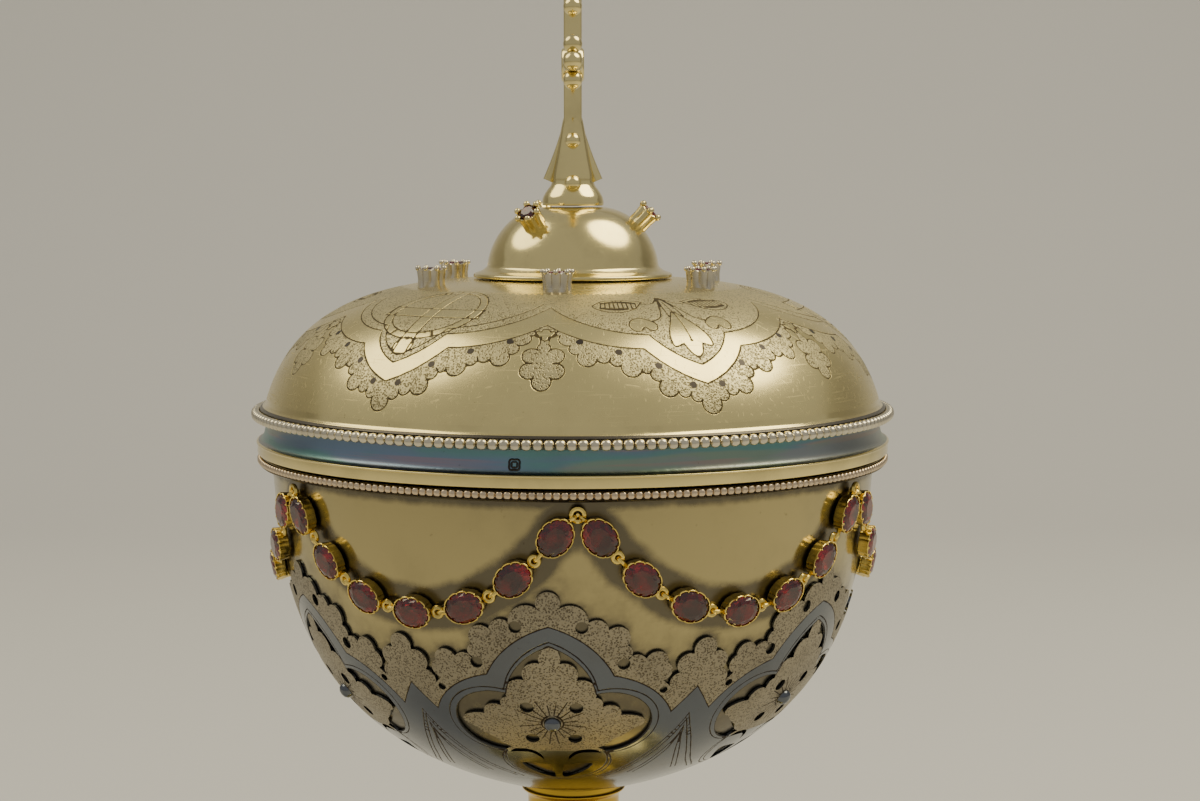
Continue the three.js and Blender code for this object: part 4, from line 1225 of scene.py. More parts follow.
CALYX_HEART = [
    (1.8, 54.6), (4.0, 54.3), (7.0, 54.0), (9.8, 54.3), (9.2, 55.6), (8.2, 56.8), (6.8, 58.1), (5.2, 59.3),
    (3.4, 60.3), (1.7, 60.9),
]
CALYX_LANCETS = [
    [(0, 40.3), (1.4, 43.2), (3, 45.9), (6.2, 50.9), (10, 55.3), (17.7, 60.9)],
    [(0, 41.9), (1.9, 45.9), (5.1, 51.2), (8.8, 55.9), (15.6, 61.0)],
    [(0, 43.6), (0.5, 45.9), (2.4, 50.3), (5.3, 55.3), (8.4, 59.2)],
    [(0, 45.6), (1.4, 50.6), (4.0, 55.6), (6.6, 59.2)],
]


def half_line(stops, width):
    """The part of a line of arcs that lies in one half of a lobe."""
    return clipped(arc_chain(stops, width), 0, HALF_LOBE)


def crest_depth(turns, crest):
    """Roughly how deep the crest lies at each angle from the middle of its lobe."""
    order = np.argsort(crest[:, 0], kind="stable")
    return np.interp(np.abs(turns), crest[order, 0], crest[order, 1])


def joined_line(corners, step=0.6):
    """A straight-sided line through the corners with a point at least every step."""
    corners = np.array(corners, float)
    pieces = []
    for a, b in zip(corners[:-1], corners[1:]):
        count = max(1, int(np.ceil(np.hypot(*(b - a)) / step)))
        pieces.append(a + (b - a) * (np.arange(count) / count)[:, None])
    return np.concatenate(pieces + [corners[-1:]])


def smooth_line(corners, count=24):
    """A soft line through the corners: each coordinate is a cubic in the chord length between two corners."""
    corners = np.array(corners, float)
    reach = np.concatenate([[0], np.cumsum(np.hypot(*np.diff(corners, axis=0).T))])
    slopes = np.gradient(corners, reach, axis=0)
    where = np.linspace(0, reach[-1], count)
    k = np.clip(np.searchsorted(reach, where, side="right") - 1, 0, len(corners) - 2)
    gap = (reach[k + 1] - reach[k])[:, None]
    t = (where - reach[k])[:, None] / gap
    rest = corners[k] * (1 + 2 * t) * (1 - t) ** 2 + corners[k + 1] * t**2 * (3 - 2 * t)
    return rest + gap * (slopes[k] * t * (1 - t) ** 2 - slopes[k + 1] * t**2 * (1 - t))


class CIBORIUM_OT_calyx(bpy.types.Operator):
    """Calyx: the pierced and stippled sheet around the bowl, with a domed pin in each flower"""

    bl_idname = "ciborium.calyx"
    bl_label = "Calyx"

    def execute(self, context):
        cup, calyx = sizes("ciborium_cup"), sizes("ciborium_calyx")
        wall = bowl_wall(cup)
        width = wall.degree_width
        end = wall.length
        drawn = (CALYX_CREST, CALYX_BAND, CALYX_FRAME, CALYX_FRAME_LINE, CALYX_FLOWER)
        crest, band, opening, frame_line, flower = (half_line(stops, width) for stops in drawn)
        holes = [circle(*hole, width) for hole in CALYX_HOLES + CALYX_FLOWER_HOLES]
        holes += [smooth_line(corners + corners[:1], 30) for corners in (CALYX_CRESCENT, CALYX_HEART)]
        from_edge = [[(HALF_LOBE - across, depth) for across, depth in corners] for corners in CALYX_LANCETS]
        lancets = [smooth_line(corners, 26) for corners in from_edge]
        rays = []
        ray_ends = []
        for index, bearing in enumerate(np.linspace(-81, 81, 10)):
            reach = 4.4 + 1.3 * (index % 2)
            a, b = math.cos(math.radians(bearing)), math.sin(math.radians(bearing))
            spots = np.append(np.linspace(1.9, reach, 6), reach + 0.3)
            ray = np.column_stack([spots * a / width(FLOWER_CENTRE), FLOWER_CENTRE + spots * b])
            rays.append(ray[:-1])
            ray_ends.append(ray[-1])
        engraved = [band, opening, frame_line] + lancets + rays
        starts = ((0, crest[0, 1]), (HALF_LOBE, crest[-1, 1]))
        sides = [joined_line([(edge, depth), (edge, end)], calyx.fineness) for edge, depth in starts]
        foot = np.column_stack([np.linspace(0, HALF_LOBE, 25), np.full(25, end)])
        ground_end = joined_line([(0, GROUND_END), (GROUND_END_ANGLE, GROUND_END)], calyx.fineness)
        lines = engraved + [crest, flower, ground_end] + holes + sides + [foot]
        flanks = np.concatenate([beside(engraved, wall), ray_ends])
        within = (flanks[:, 0] > 0.05) & (flanks[:, 0] < HALF_LOBE - 0.05)
        flanks = flanks[within & (distance(flanks, lines, wall) > 0.2)]
        loose = np.concatenate([filling(0, HALF_LOBE, 15, end - 0.5, calyx.fineness, lines, wall), flanks])
        flat, faces = triangulated(lines, loose)
        centres = flat[faces].mean(axis=1)
        sheet = inside(centres, np.concatenate([crest, [(HALF_LOBE, end), (0, end)]]))
        in_frame = inside(centres, np.concatenate([opening, [(0, 40)]]))
        in_flower = inside(centres, np.concatenate([flower, [(0, 40)]]))
        kept = sheet & ~(in_frame & ~in_flower)
        for hole in holes:
            kept &= ~inside(centres, hole)
        above = inside(centres, np.concatenate([band, [(HALF_LOBE, 0), (0, 0)]]))
        depths = centres[:, 1]
        ground = (above & (depths < FLOWER_CENTRE - 0.4)) | (in_frame & in_flower & (depths < GROUND_END))
        faces, ground = faces[kept], ground[kept]
        form = bent_sheet(flat, faces, ground.astype(int), nearness(flat, engraved, wall), wall, calyx)
        size = calyx.pin_radius
        pin = turned([(0, -1.2), (size, -1.2), (size, 0.1), (size * 0.86, 0.75), (size * 0.5, 1.15), (0, 1.3)], 20)
        spots = wall_places(wall, calyx.lobes, calyx.turn, FLOWER_CENTRE, calyx.stand_off + calyx.sheet)
        pins = set_out(pin, spots)
        # The sheet's polished bands, its edges and the pins are painted dark blue-grey as a reflection of dark
        # surroundings; the stippled ground is calyx silver
        finishes = [finish("worn_band"), finish("calyx_ground")]
        add_piece("calyx_sheet", together(form, pins), finishes, ["calyx"], crease=50)
        return {"FINISHED"}


def bent_sheet(flat, faces, ground, line, wall, calyx):
    """Half a lobe mirrored and repeated around the bowl, given an inner face and walls along its free edges."""
    half = [flat, flat * [-1, 1]]
    turns = math.degrees(calyx.turn) + np.arange(calyx.lobes) * 360 / calyx.lobes
    spots = np.concatenate([side + [angle, 0] for angle in turns for side in half])
    sides = [faces, faces[:, ::-1]]
    count = len(flat)
    halves = [side + count * (2 * i + k) for i in range(calyx.lobes) for k, side in enumerate(sides)]
    corners = np.concatenate(halves)
    finish_numbers = np.tile(ground, 2 * calyx.lobes)
    around = np.round((spots[:, 0] % 360) * 1000) % 360000
    keys = np.column_stack([around, np.round(spots[:, 1] * 1000)]).astype(np.int64)
    _, first, number = np.unique(keys, axis=0, return_index=True, return_inverse=True)
    corners = number.reshape(-1)[corners]
    spots = spots[first]
    line = np.tile(line, 2 * calyx.lobes)[first]
    pairs = np.concatenate([corners[:, [0, 1]], corners[:, [1, 2]], corners[:, [2, 0]]])
    code = np.sort(pairs, axis=1) @ [len(spots), 1]
    _, where, times = np.unique(code, return_index=True, return_counts=True)
    free = pairs[where[times == 1]]
    total = len(spots)
    outer = wall.bent(*spots.T, calyx.stand_off + calyx.sheet)
    inner = wall.bent(*spots.T, calyx.stand_off)
    quads = np.concatenate([
        np.column_stack([corners, corners[:, 2]]),
        np.column_stack([corners[:, ::-1], corners[:, 0]]) + total,
        np.column_stack([free[:, 1], free[:, 0], free[:, 0] + total, free[:, 1] + total]),
    ])
    numbers = np.concatenate([finish_numbers, np.zeros(len(corners) + len(free), int)])
    line = np.concatenate([line, np.zeros(total)])
    used = np.unique(quads)
    renumber = np.zeros(2 * total, np.int64)
    renumber[used] = np.arange(len(used))
    points = np.concatenate([outer, inner])[used]
    return outward(Form(points, renumber[quads], numbers, line=line[used]))


class CIBORIUM_OT_garland(bpy.types.Operator):
    """Garland: scalloped collets joined by rings and hooks, and a garnet in each"""

    bl_idname = "ciborium.garland"
    bl_label = "Garland"

    def execute(self, context):
        garland = sizes("ciborium_garland")
        wall = bowl_wall(sizes("ciborium_cup"))
        x, y, height = garland.collet_length / 2, garland.collet_width / 2, garland.collet_height
        cut = setting_sizes(x, y, height, 0.55)
        claws = claw_ring(x * 0.90, y * 0.88, height + 0.06, 12, 0.17)
        collet = together(notched_collet(x, y, height, height * 0.75, 12), claws)
        spots = swag_places(garland, wall)
        form = together(set_out(collet, spots), chain_links(garland, wall, spots))
        add_piece("garland_gold", form, [finish("chain_gold")], ["garland"], crease=40)
        stone = cut_stone(x * 0.87, y * 0.87, cut["crown"] * 0.9, cut["pavilion"])
        stone.points[:, 2] += cut["girdle"] - 0.2
        numbers = [divmod(index, garland.stones) for index in range(len(spots[0]))]
        add_stones("garland", stone, spots, [f"{swag + 1}_{number + 1}" for swag, number in numbers])
        return {"FINISHED"}


def swag_depth(garland, turns):
    """How deep a swag hangs at each angle from its middle: lowest - rise |turn / half a swag|^power."""
    return garland.lowest - garland.rise * (np.abs(turns) / (180 / garland.swags)) ** garland.power


def swag_places(garland, wall):
    """Places of all the stones: a pitch apart along each swag's curve, which is a power of the angle."""
    half = 180 / garland.swags
    turns = np.linspace(0, half, 1501)
    path = wall.bent(turns, swag_depth(garland, turns), garland.stand_off + garland.collet_height / 2)
    travelled = np.concatenate([[0], np.cumsum(np.linalg.norm(np.diff(path, axis=0), axis=1))])
    count = garland.stones // 2
    right = np.interp(garland.pitch * np.arange(1, count + 1), travelled, turns)
    local = np.concatenate([-right[::-1], [0], right])
    middles = math.degrees(garland.turn) + (np.arange(garland.swags) + 0.5) * 360 / garland.swags
    angles = (middles[:, None] + local).reshape(-1)
    depths = np.tile(swag_depth(garland, local), garland.swags)
    before = wall.bent(angles - 0.5, np.tile(swag_depth(garland, local - 0.5), garland.swags))
    after = wall.bent(angles + 0.5, np.tile(swag_depth(garland, local + 0.5), garland.swags))
    return places(wall.bent(angles, depths, garland.stand_off), after - before, wall.normals(angles, depths))


def chain_links(garland, wall, spots):
    """A flat ring at the end of one collet and a hook through it from the next, in every gap."""
    origins, axes = spots
    reach, level = garland.collet_length / 2, garland.collet_height * 0.42
    a = np.linspace(0, FULL_TURN, 15)[:-1]
    forms = []
    total = len(origins)
    for index in range(total):
        following = (index + 1) % total
        start = origins[index] + axes[index, 0] * reach * 0.93 + axes[index, 2] * level
        end = origins[following] - axes[following, 0] * reach * 0.93 + axes[following, 2] * level
        up = unit(axes[index, 2] + axes[following, 2])
        if (index + 1) % garland.stones == 0:
            swag = (index + 1) // garland.stones % garland.swags
            angle = math.degrees(garland.turn) + 360 / garland.swags * swag
            depth = np.array([garland.lowest - garland.ring_rise])
            up = wall.normals(np.array([angle]), depth)[0]
            centre = wall.bent(np.array([angle]), depth, garland.stand_off + garland.wire + 0.35)[0]
            across = unit(np.cross((0.0, 0, 1), up))
            down = np.cross(across, up)
            ring = centre + 1.1 * (np.cos(a)[:, None] * across + np.sin(a)[:, None] * down)
            forms.append(wire(ring, garland.wire * 1.15, 8, True, up))
            for target in (start, end):
                side = unit(target - centre)
                hook = bezier_line(
                    [
                        centre + side * 0.35 - up * 0.2,
                        centre + side * 0.75 + up * 0.75,
                        centre + side * 1.4 + up * 0.55,
                        target,
                    ],
                    9,
                )
                forms.append(wire(hook, garland.wire * 0.95, 7, False, np.cross(up, side)))
            pin = wire([centre - up * 0.9, centre + up * 0.25], 0.32, 8, False, across)
            forms.append(pin)
            continue
        along = unit(end - start)
        gap = np.linalg.norm(end - start)
        centre = start + along * (gap * 0.36)
        side = np.cross(up, along)
        ring = centre + (np.cos(a)[:, None] * along + np.sin(a)[:, None] * side) * 0.82
        forms.append(wire(ring, garland.wire * 1.1, 8, True, up))
        inner = centre + along * 0.18
        hook = bezier_line(
            [
                inner - up * 0.55,
                inner + up * 0.75 - along * 0.3,
                centre + along * 0.95 + up * 0.6,
                end + along * 0.2,
            ],
            10,
        )
        forms.append(wire(hook, garland.wire * 0.95, 7, False, side))
    return together(*forms)


# The lid's finishes in the order of its material slots, and a name for the number of each
LID_FINISHES = ("lid_gilt", "lid_band", "plain_gilt", "bead_silver", "lid_ground", "pit_shadow", "rim_shadow")
POLISHED, BAND, PLAIN, SILVER, GROUND, PIT_SHADOW, SHADOW = range(len(LID_FINISHES))
# A height inside the vessel, from which the lid's faces are told to point outwards or inwards
MIDDLE_HEIGHT = 175
# The radius of the lid's beads, and the sides of the little pits under its crest
BEAD_SIZE = 0.94
PIT_SIDES = 12
# The lid's crest as notches between its buds: angle, depth from the dome's foot and the rise of the bud
LID_CREST = [
    (-1.75, 4.0, 2.4), (1.75, 4.0, 0.9), (3.55, 5.4, 0.9), (5.9, 5.7, 2.0), (8.6, 7.8, 1.0),
    (10.1, 9.8, 0.7), (11.9, 9.9, 1.9), (15.5, 11.0, 1.0), (17.4, 12.4, 0.9), (20.0, 12.1, 2.0),
    (23.4, 13.2, 0.9), (24.9, 15.2, 1.0), (27.0, 17.6, 0.4), (28.0, 18.6, 0),
]
LID_PITS = [(2.85, 6.9, 0.65), (8.6, 10.7, 0.65), (15.7, 13.7, 0.65), (23.1, 16.1, 0.65)]
LID_BAND = [(0, 7.0, 0.9), (10.6, 14.35, 1.5), (30, 20.6, 0)]
LID_FRAME = [(0, 10.7, 0.9), (8.7, 17.7, 2.2), (30, 27.0, 0)]
LID_PENDANT = [
    (-1.5, 8.5, 2.4), (1.5, 8.5, 2.2), (1.9, 11.3, 2.2), (1.2, 14.2, 0.2), (0.9, 15.4, -0.4), (2.3, 18.6, 0)
]
LID_TREFOIL = [
    (0, 19.4), (0.7, 19.2), (0.9, 18.6), (1.5, 18.8), (2.1, 18.3), (2.0, 17.5), (1.3, 17.2), (0.7, 17.4),
    (0.6, 16.7), (0, 16.2),
]
LEAF = [
    (0, 12.1), (1.2, 13.2), (1.8, 14.6), (2.1, 15.3), (3.0, 14.9), (4.1, 14.7), (4.4, 16.2), (3.9, 18.4),
    (2.8, 20.6), (1.5, 22.8), (0.5, 24.6),
]
HEART_LEAF = [
    (7.3, 21.9), (6.0, 20.6), (6.4, 19.2), (7.8, 18.9), (9.0, 19.9), (9.9, 18.9), (11.4, 18.8), (12.2, 20.2),
    (11.6, 21.8), (9.6, 22.7),
]
FERN_LEAF = [
    (6.0, 29.2), (9.0, 26.2), (13.0, 24.9), (17.0, 25.4), (19.5, 27.4), (17.5, 29.3), (13.0, 30.2),
    (9.0, 30.0),
]


class CIBORIUM_OT_lid(bpy.types.Operator):
    """Lid: the engraved dome, its roll and band, the ring of beads and the settings around its top"""

    bl_idname = "ciborium.lid"
    bl_label = "Lid"

    def execute(self, context):
        lid = sizes("ciborium_lid")
        wall = lid_wall(lid)
        sides = 480
        dome = engraved_dome(lid, wall, sides)
        start = lid_start(lid)
        base, foot = lid.base_height, lid.foot_height
        band, flange = lid.band_radius, lid.flange_radius
        upright = eased(
            [(flange, base - lid.flange_depth), (flange, base), (band, base), (band, base + 1.75)], 0.2, 4
        )
        ridge = eased(
            [(band, base + 1.75), (band + 0.2, base + 1.9), (band + 0.2, base + 2.1), (band - 0.15, base + 2.3)],
            0.15,
            4,
        )
        hollow = parabola((band - 0.15, base + 2.3), (band - 1.5, base + 2.5), (band - 1.6, base + 6.2), 14)
        shelf = eased([
            (band - 1.6, base + 6.2), (band - 0.6, base + 6.35), (band - 0.6, base + 8.0),
            (band - 0.45, base + 8.2), (band - 1.0, base + 8.55), (band - 1.15, base + 8.75),
            (band - 1.35, base + 8.7), (band - 1.6, base + 9.1), (lid.dome_radius, foot),
        ], 0.15, 4)
        lower = np.concatenate([upright, ridge[1:], hollow[1:], shelf[1:]])
        inner = flange - 1.2
        under = wall.rows(40, -lid.wall)
        flange_end = base - lid.flange_depth
        skirt = eased([under[-6], (inner, foot - 4.5), (inner, flange_end), (flange, flange_end)], 0.3)
        within = np.concatenate([[(0, lid.top_height - lid.wall)], under[:-6], skirt])
        hollow_start = len(upright) + len(ridge) - 2
        shelf_start = hollow_start + len(hollow) - 1
        numbers = np.full(len(lower) - 1, PLAIN)
        numbers[hollow_start:shelf_start] = BAND
        numbers[shelf_start:-14] = SHADOW
        low = turned(lower, sides, start, finish=numbers, closed=False)
        inside_form = turned(within, sides, start, finish=PLAIN, closed=False)
        top = [(lid.top_radius, lid.top_height), (0, lid.top_height)]
        crown = turned(top, sides, start, finish=POLISHED, closed=False)
        shell = sealed(together(facing(low, 1), facing(dome, 1), facing(crown, 1), facing(inside_form, -1)))
        bead = full_bead(BEAD_SIZE, BEAD_SIZE * 0.99, BEAD_SIZE, 0.8, 10, 7)
        beads = set_out(bead, ring_places(lid.beads, lid.bead_radius - BEAD_SIZE, lid.bead_height + 0.08, start))
        beads.finish[:] = SILVER
        settings = lid_settings(lid, wall)
        settings.finish[:] = SILVER
        form = together(shell, beads, settings, blank_punch(lid))
        finishes = [finish(name) for name in LID_FINISHES]
        add_piece("lid_gilt", form, finishes, ["lid"], crease=40)
        return {"FINISHED"}


def lid_start(lid):
    """The angle at which the lid's first lobe begins."""
    return math.radians(math.degrees(lid.turn) - 180 / lid.lobes)


def blank_punch(lid):
    """A small empty eight-sided mark struck into the band: a low rim around a bare field."""
    a = np.arange(24) * FULL_TURN / 24
    size = 0.95 - 0.12 * np.cos(4 * a)
    around = np.column_stack([size * np.cos(a), size * np.sin(a), 0 * a])
    mark = together(
        wire(around, 0.19, 6, True, (0, 0, 1)), wire(around * 0.52 - [0, 0, 0.02], 0.16, 6, True, (0, 0, 1))
    )
    angle = math.radians(-9.6)
    out = np.array([math.cos(angle), math.sin(angle), 0])
    normal = unit(out + [0, 0, 0.3])
    spot = out * (lid.band_radius - 1.22) + [0, 0, lid.base_height + 3.8]
    mark = set_out(mark, places([spot], [[-out[1], out[0], 0]], [normal]))
    # Painted shade: the struck mark takes the dark pit colour
    mark.finish[:] = PIT_SHADOW
    return mark


def facing(form, side):
    """An open form turned about Z with its faces turned away from the middle of the vessel, or towards it."""
    a, b, c, d = (form.points[form.faces[:, k]] for k in range(4))
    normal = np.cross(c - a, d - b)
    middle = (a + b + c + d) / 4 - [0, 0, MIDDLE_HEIGHT]
    if np.sign((normal * middle).sum()) != side:
        form.faces = form.faces[:, [1, 0, 3, 2]]
    return form


class Upside:
    """The lid's wall measured from the dome's foot instead of from its top."""

    def __init__(self, wall):
        self.wall = wall

    def degree_width(self, depth):
        return self.wall.degree_width(self.wall.length - depth)


def lid_drawing(wall, kind):
    """The lines of one lobe from -30 to 30 degrees, and the closed outlines of what is stippled in it."""
    width = Upside(wall).degree_width
    crest = half_line(LID_CREST, width)
    band = arc_chain(LID_BAND, width)
    frame_line = arc_chain(LID_FRAME, width)
    pendant = half_line(LID_PENDANT, width)
    pendant = (pendant * [-1, 1] + [HALF_LOBE, 0])[::-1]
    pits = [side for pit in LID_PITS for side in both(circle(*pit, width, PIT_SIDES))]
    trefoil = smooth_line(LID_TREFOIL, 30) * [-1, 1] + [HALF_LOBE, 0]
    lines = both(crest) + both(band) + both(frame_line) + both(pendant) + both(trefoil) + pits
    crest_area = np.concatenate([mirrored(crest)[:-1], crest, band[::-1], mirrored(band)[::-1][1:]])
    tail = np.array([(30, 20.6), (28.2, 20.2), (28, 18.6)])
    grounds = [crest_area, np.concatenate([pendant, tail]), np.concatenate([mirrored(pendant), mirrored(tail)])]
    field = np.concatenate([mirrored(frame_line), frame_line[1:], [(30, 34), (-30, 34)]])
    polished = both(trefoil)
    strokes = []
    if kind == "leaf":
        leaf = smooth_line(LEAF, 40)
        leaf = np.concatenate([leaf, mirrored(leaf)])
        hearts = both(smooth_line(HEART_LEAF + HEART_LEAF[:1], 36))
        ferns = both(smooth_line(FERN_LEAF + FERN_LEAF[:1], 40))
        strokes += [smooth_line([(0, 16.2), (0.1, 20), (0, 29)], 16)]
        strokes += both(smooth_line([(0.4, 31), (2.2, 27), (4.5, 22.5), (6.8, 21.5)], 20))
        strokes += both(smooth_line([(0.6, 31), (3, 28.6), (6, 28.2)], 12))
        strokes += both(smooth_line([(0.2, 31), (1.4, 27), (1.9, 23)], 12))
        for index in range(9):
            angle, spread = 8.4 + index * 1.15, (index - 4) ** 2
            strokes += both(np.array([(angle, 25.9 + 0.04 * spread), (angle - 0.5, 29.6 - 0.05 * spread)]))
        polished += [leaf] + hearts
        lines += [leaf] + hearts + ferns
    else:
        ring = [circle(0, 25.5, size, width, 44) for size in (9.4, 7.9)]
        post = np.array([(-1.5, 12.6), (1.5, 12.6), (1.7, 34.0), (-1.7, 34.0), (-1.5, 12.6)])
        bar = np.array([(-13.5, 22.4), (13.5, 22.4), (13.8, 25.4), (-13.8, 25.4), (-13.5, 22.4)])
        knob = circle(0, 14.4, 2.0, width, 20)
        post, bar = joined_line(post, 0.8), joined_line(bar, 0.8)
        polished += [knob, post, bar, np.concatenate([ring[0], ring[1][::-1]])]
        lines += [knob, post, bar] + ring
        strokes += both(arc_chain([(0, 12.2, 0.9), (8.2, 19.2, 2.0), (28.0, 28.6, 0)], width))
    return lines + strokes, grounds + [field], polished, pits


def drawn_lobe(lid, wall, kind, steps):
    """One lobe drawn flat and cut into triangles: points, corners, finishes and the mark of its lines."""
    lines, grounds, polished, pits = lid_drawing(wall, kind)
    top = wall.length
    lines = [line[(line[:, 1] < top - 0.6)] for line in lines]
    lines = [line for line in lines if len(line) > 1]
    grooves = [line for line in lines if len(line) != PIT_SIDES + 1]
    across = np.linspace(-HALF_LOBE, HALF_LOBE, steps + 1)
    ends = [np.column_stack([across, np.full(steps + 1, depth)]) for depth in (0.0, top)]
    rows = np.arange(0, top, 1.1)
    rows = np.append(rows[rows < top - 0.5], top)
    edges = [np.column_stack([np.full(len(rows), float(side)), rows]) for side in (-HALF_LOBE, HALF_LOBE)]
    fixed = lines + ends + edges
    upside = Upside(wall)
    flanks = beside(grooves, upside)
    within = (np.abs(flanks[:, 0]) < HALF_LOBE - 0.1) & (flanks[:, 1] > 0.3) & (flanks[:, 1] < top - 0.4)
    flanks = flanks[within]
    flanks = flanks[distance(flanks, fixed, upside) > 0.2]
    between = filling(-HALF_LOBE, HALF_LOBE, 0.6, top - 0.5, lid.fineness, fixed, upside)
    flat, faces = triangulated(fixed, np.concatenate([between, flanks]))
    centres = flat[faces].mean(axis=1)
    stippled = np.zeros(len(faces), bool)
    for ground in grounds:
        stippled |= inside(centres, ground)
    for area in polished:
        stippled &= ~inside(centres, area)
    numbers = np.where(stippled, GROUND, POLISHED)
    # Painted shade: the pits are flat and only coloured dark
    for pit in pits:
        numbers[inside(centres, pit)] = PIT_SHADOW
    return flat, faces, numbers, nearness(flat, grooves, upside)


def engraved_dome(lid, wall, sides):
    """The dome's outside: lobes of two kinds in turn, spread over their share of the turn and bent."""
    kinds = [drawn_lobe(lid, wall, kind, sides // lid.lobes) for kind in ("leaf", "strap")]
    spread = 180 / lid.lobes / HALF_LOBE
    forms = []
    for index in range(lid.lobes):
        flat, faces, numbers, line = kinds[index % len(kinds)]
        angles = flat[:, 0] * spread + math.degrees(lid.turn) + index * 360 / lid.lobes
        points = wall.bent(angles, wall.length - flat[:, 1])
        forms.append(Form(points, np.column_stack([faces, faces[:, 2]]), numbers, line=line))
    return sealed(together(*forms))


def lid_settings(lid, wall):
    """Crown settings with eight scalloped claws, upright on the dome."""
    where = np.interp(lid.setting_circle, wall.points[:, 0], wall.reach)
    height = wall.at(where)[1]
    sink = 0.7
    spots = ring_places(lid.settings, lid.setting_circle, height - sink, lid_start(lid))
    tall = lid.setting_height + sink
    cut = setting_sizes(
        lid.setting_radius, lid.setting_radius, lid.setting_height, lid.setting_radius - lid.stone_radius
    )
    shell = ribbed_crown(lid.setting_radius, tall, lid.setting_height * 0.75, 8, 0.5)
    stone = cut_stone(cut["x_radius"] * 0.9, cut["y_radius"] * 0.9, cut["crown"] * 0.8, cut["pavilion"])
    stone.points[:, 2] += cut["girdle"] + sink - 0.6
    add_stones("lid", stone, spots, range(1, lid.settings + 1))
    return set_out(shell, spots)


class CIBORIUM_OT_boss(bpy.types.Operator):
    """Lid boss: the small polished dome with a flared foot and three claw settings"""

    bl_idname = "ciborium.boss"
    bl_label = "Lid boss"

    def execute(self, context):
        boss = sizes("ciborium_boss")
        wall = boss_wall(boss)
        base = boss.base_height
        radius, flange, top = boss.radius, boss.flange_radius, base + boss.height
        flare = eased([
            (radius, wall.points[-1, 1]), (radius + 0.15, base + 1.9), (radius + 1.0, base + 1.25),
            (flange, base + 0.65), (flange, base), (radius - boss.wall, base),
        ], 0.35, 5)
        inner = wall.rows(30, -boss.wall)[::-1]
        profile = np.concatenate([[(0, top)], wall.rows(70), flare[1:], inner, [(0, top - boss.wall)]])
        shell = turned(profile, 240)
        sink = 0.6
        spots = wall_places(wall, boss.settings, boss.turn, wall.length * boss.setting_share, -sink)
        tall = boss.setting_height + sink
        radius, height = boss.setting_radius, boss.setting_height
        cut = setting_sizes(radius, radius, height, radius - boss.stone_radius)
        settings = set_out(ribbed_crown(radius, tall, height * 0.75, 6, 0.62), spots)
        add_piece(
            "boss_gilt", together(shell, settings), [finish("plain_gilt")], ["lid_boss"], crease=40
        )
        stone = cut_stone(cut["x_radius"] * 0.9, cut["y_radius"] * 0.9, cut["crown"] * 0.8, cut["pavilion"])
        stone.points[:, 2] += cut["girdle"] + sink - 0.5
        add_stones("boss", stone, spots, range(1, boss.settings + 1))
        return {"FINISHED"}


class CIBORIUM_OT_cross(bpy.types.Operator):
    """Cross finial: a bell, a cone of drooping leaves and a cross with three buds at each end"""

    bl_idname = "ciborium.cross"
    bl_label = "Cross finial"

    def execute(self, context):
        cross = sizes("ciborium_cross")
        top, cone, thick, bud = cross.height, cross.cone_height, cross.thickness, cross.bud
        base = cross.base_radius
        profile = eased([
            (0, 0), (base - 0.1, 0), (base, 0.5), (base - 0.2, 1.6), (base - 1.0, 2.9), (base - 1.9, 4.0),
            (4.0, 5.5), (3.3, 8.5), (2.7, 11.5), (2.2, 14.2), (1.7, cone), (0, cone),
        ], 0.7, 5)
        forms = [turned(profile, 96)]
        for turn_by in (90, 270):
            forms.append(cone_leaf(math.radians(turn_by), cross))
        for side in (0, 180):
            a = math.radians(side)
            out = np.array([math.cos(a), math.sin(a), 0])
            forms.append(shifted(ball(1.55, 20, 12), out * 4.1 + [0, 0, 4.1]))
            forms.append(shifted(ball(1.45, 20, 12), out * 2.9 + [0, 0, 12.0]))
        half = cross.bar / 2
        reach = cross.span / 2 - bud
        forms.append(bar_form([(0, 0, cone - 2), (0, 0, top - bud)], half, thick / 2))
        forms.append(bar_form([(-reach, 0, cross.centre), (reach, 0, cross.centre)], half, thick / 2))
        disc = turned(
            eased(
                [(0, -thick * 0.62), (3.0, -thick * 0.62), (3.6, 0), (3.0, thick * 0.62), (0, thick * 0.62)], 0.5, 5
            ),
            48,
        )
        middle = (np.array([[0.0, 0, cross.centre]]), np.array([[[1.0, 0, 0], [0, 0, 1], [0, -1, 0]]]))
        forms.append(set_out(disc, middle))
        spots = []
        for side in (-1, 1):
            behind = side * (reach - bud * 1.75)
            spots += [
                (side * reach, cross.centre),
                (behind, cross.centre + bud * 1.85),
                (behind, cross.centre - bud * 1.85),
            ]
            spots.append((side * bud * 1.85, top - bud - bud * 1.75))
        spots.append((0, top - bud))
        for x, z in spots:
            forms.append(shifted(ball(bud, 24, 14), [x, 0, z]))
        form = together(*forms)
        form.points[:, 2] += cross.base_height
        add_piece("cross_gilt", form, [finish("plain_gilt")], ["cross_finial"], crease=40)
        return {"FINISHED"}


def shifted(form, offset):
    form.points = form.points + np.asarray(offset, float)
    return form


def bar_form(ends, half_width, half_depth):
    """A bar with rounded edges: its section is the curve |u/w|^4 + |v/d|^4 = 1, carried between two ends."""
    start, end = np.array(ends, float)
    along = unit(end - start)
    depth = np.array([0.0, 1, 0])
    side = np.cross(along, depth)
    a = np.arange(24) * FULL_TURN / 24
    round_cos = np.sign(np.cos(a)) * np.abs(np.cos(a)) ** 0.5
    round_sin = np.sign(np.sin(a)) * np.abs(np.sin(a)) ** 0.5
    section = round_cos[:, None] * side * half_width + round_sin[:, None] * depth * half_depth
    rows = [0 * section + start] + [section + spot for spot in np.linspace(start, end, 9)] + [0 * section + end]
    return outward(sealed(grid(np.stack(rows), False, True)))


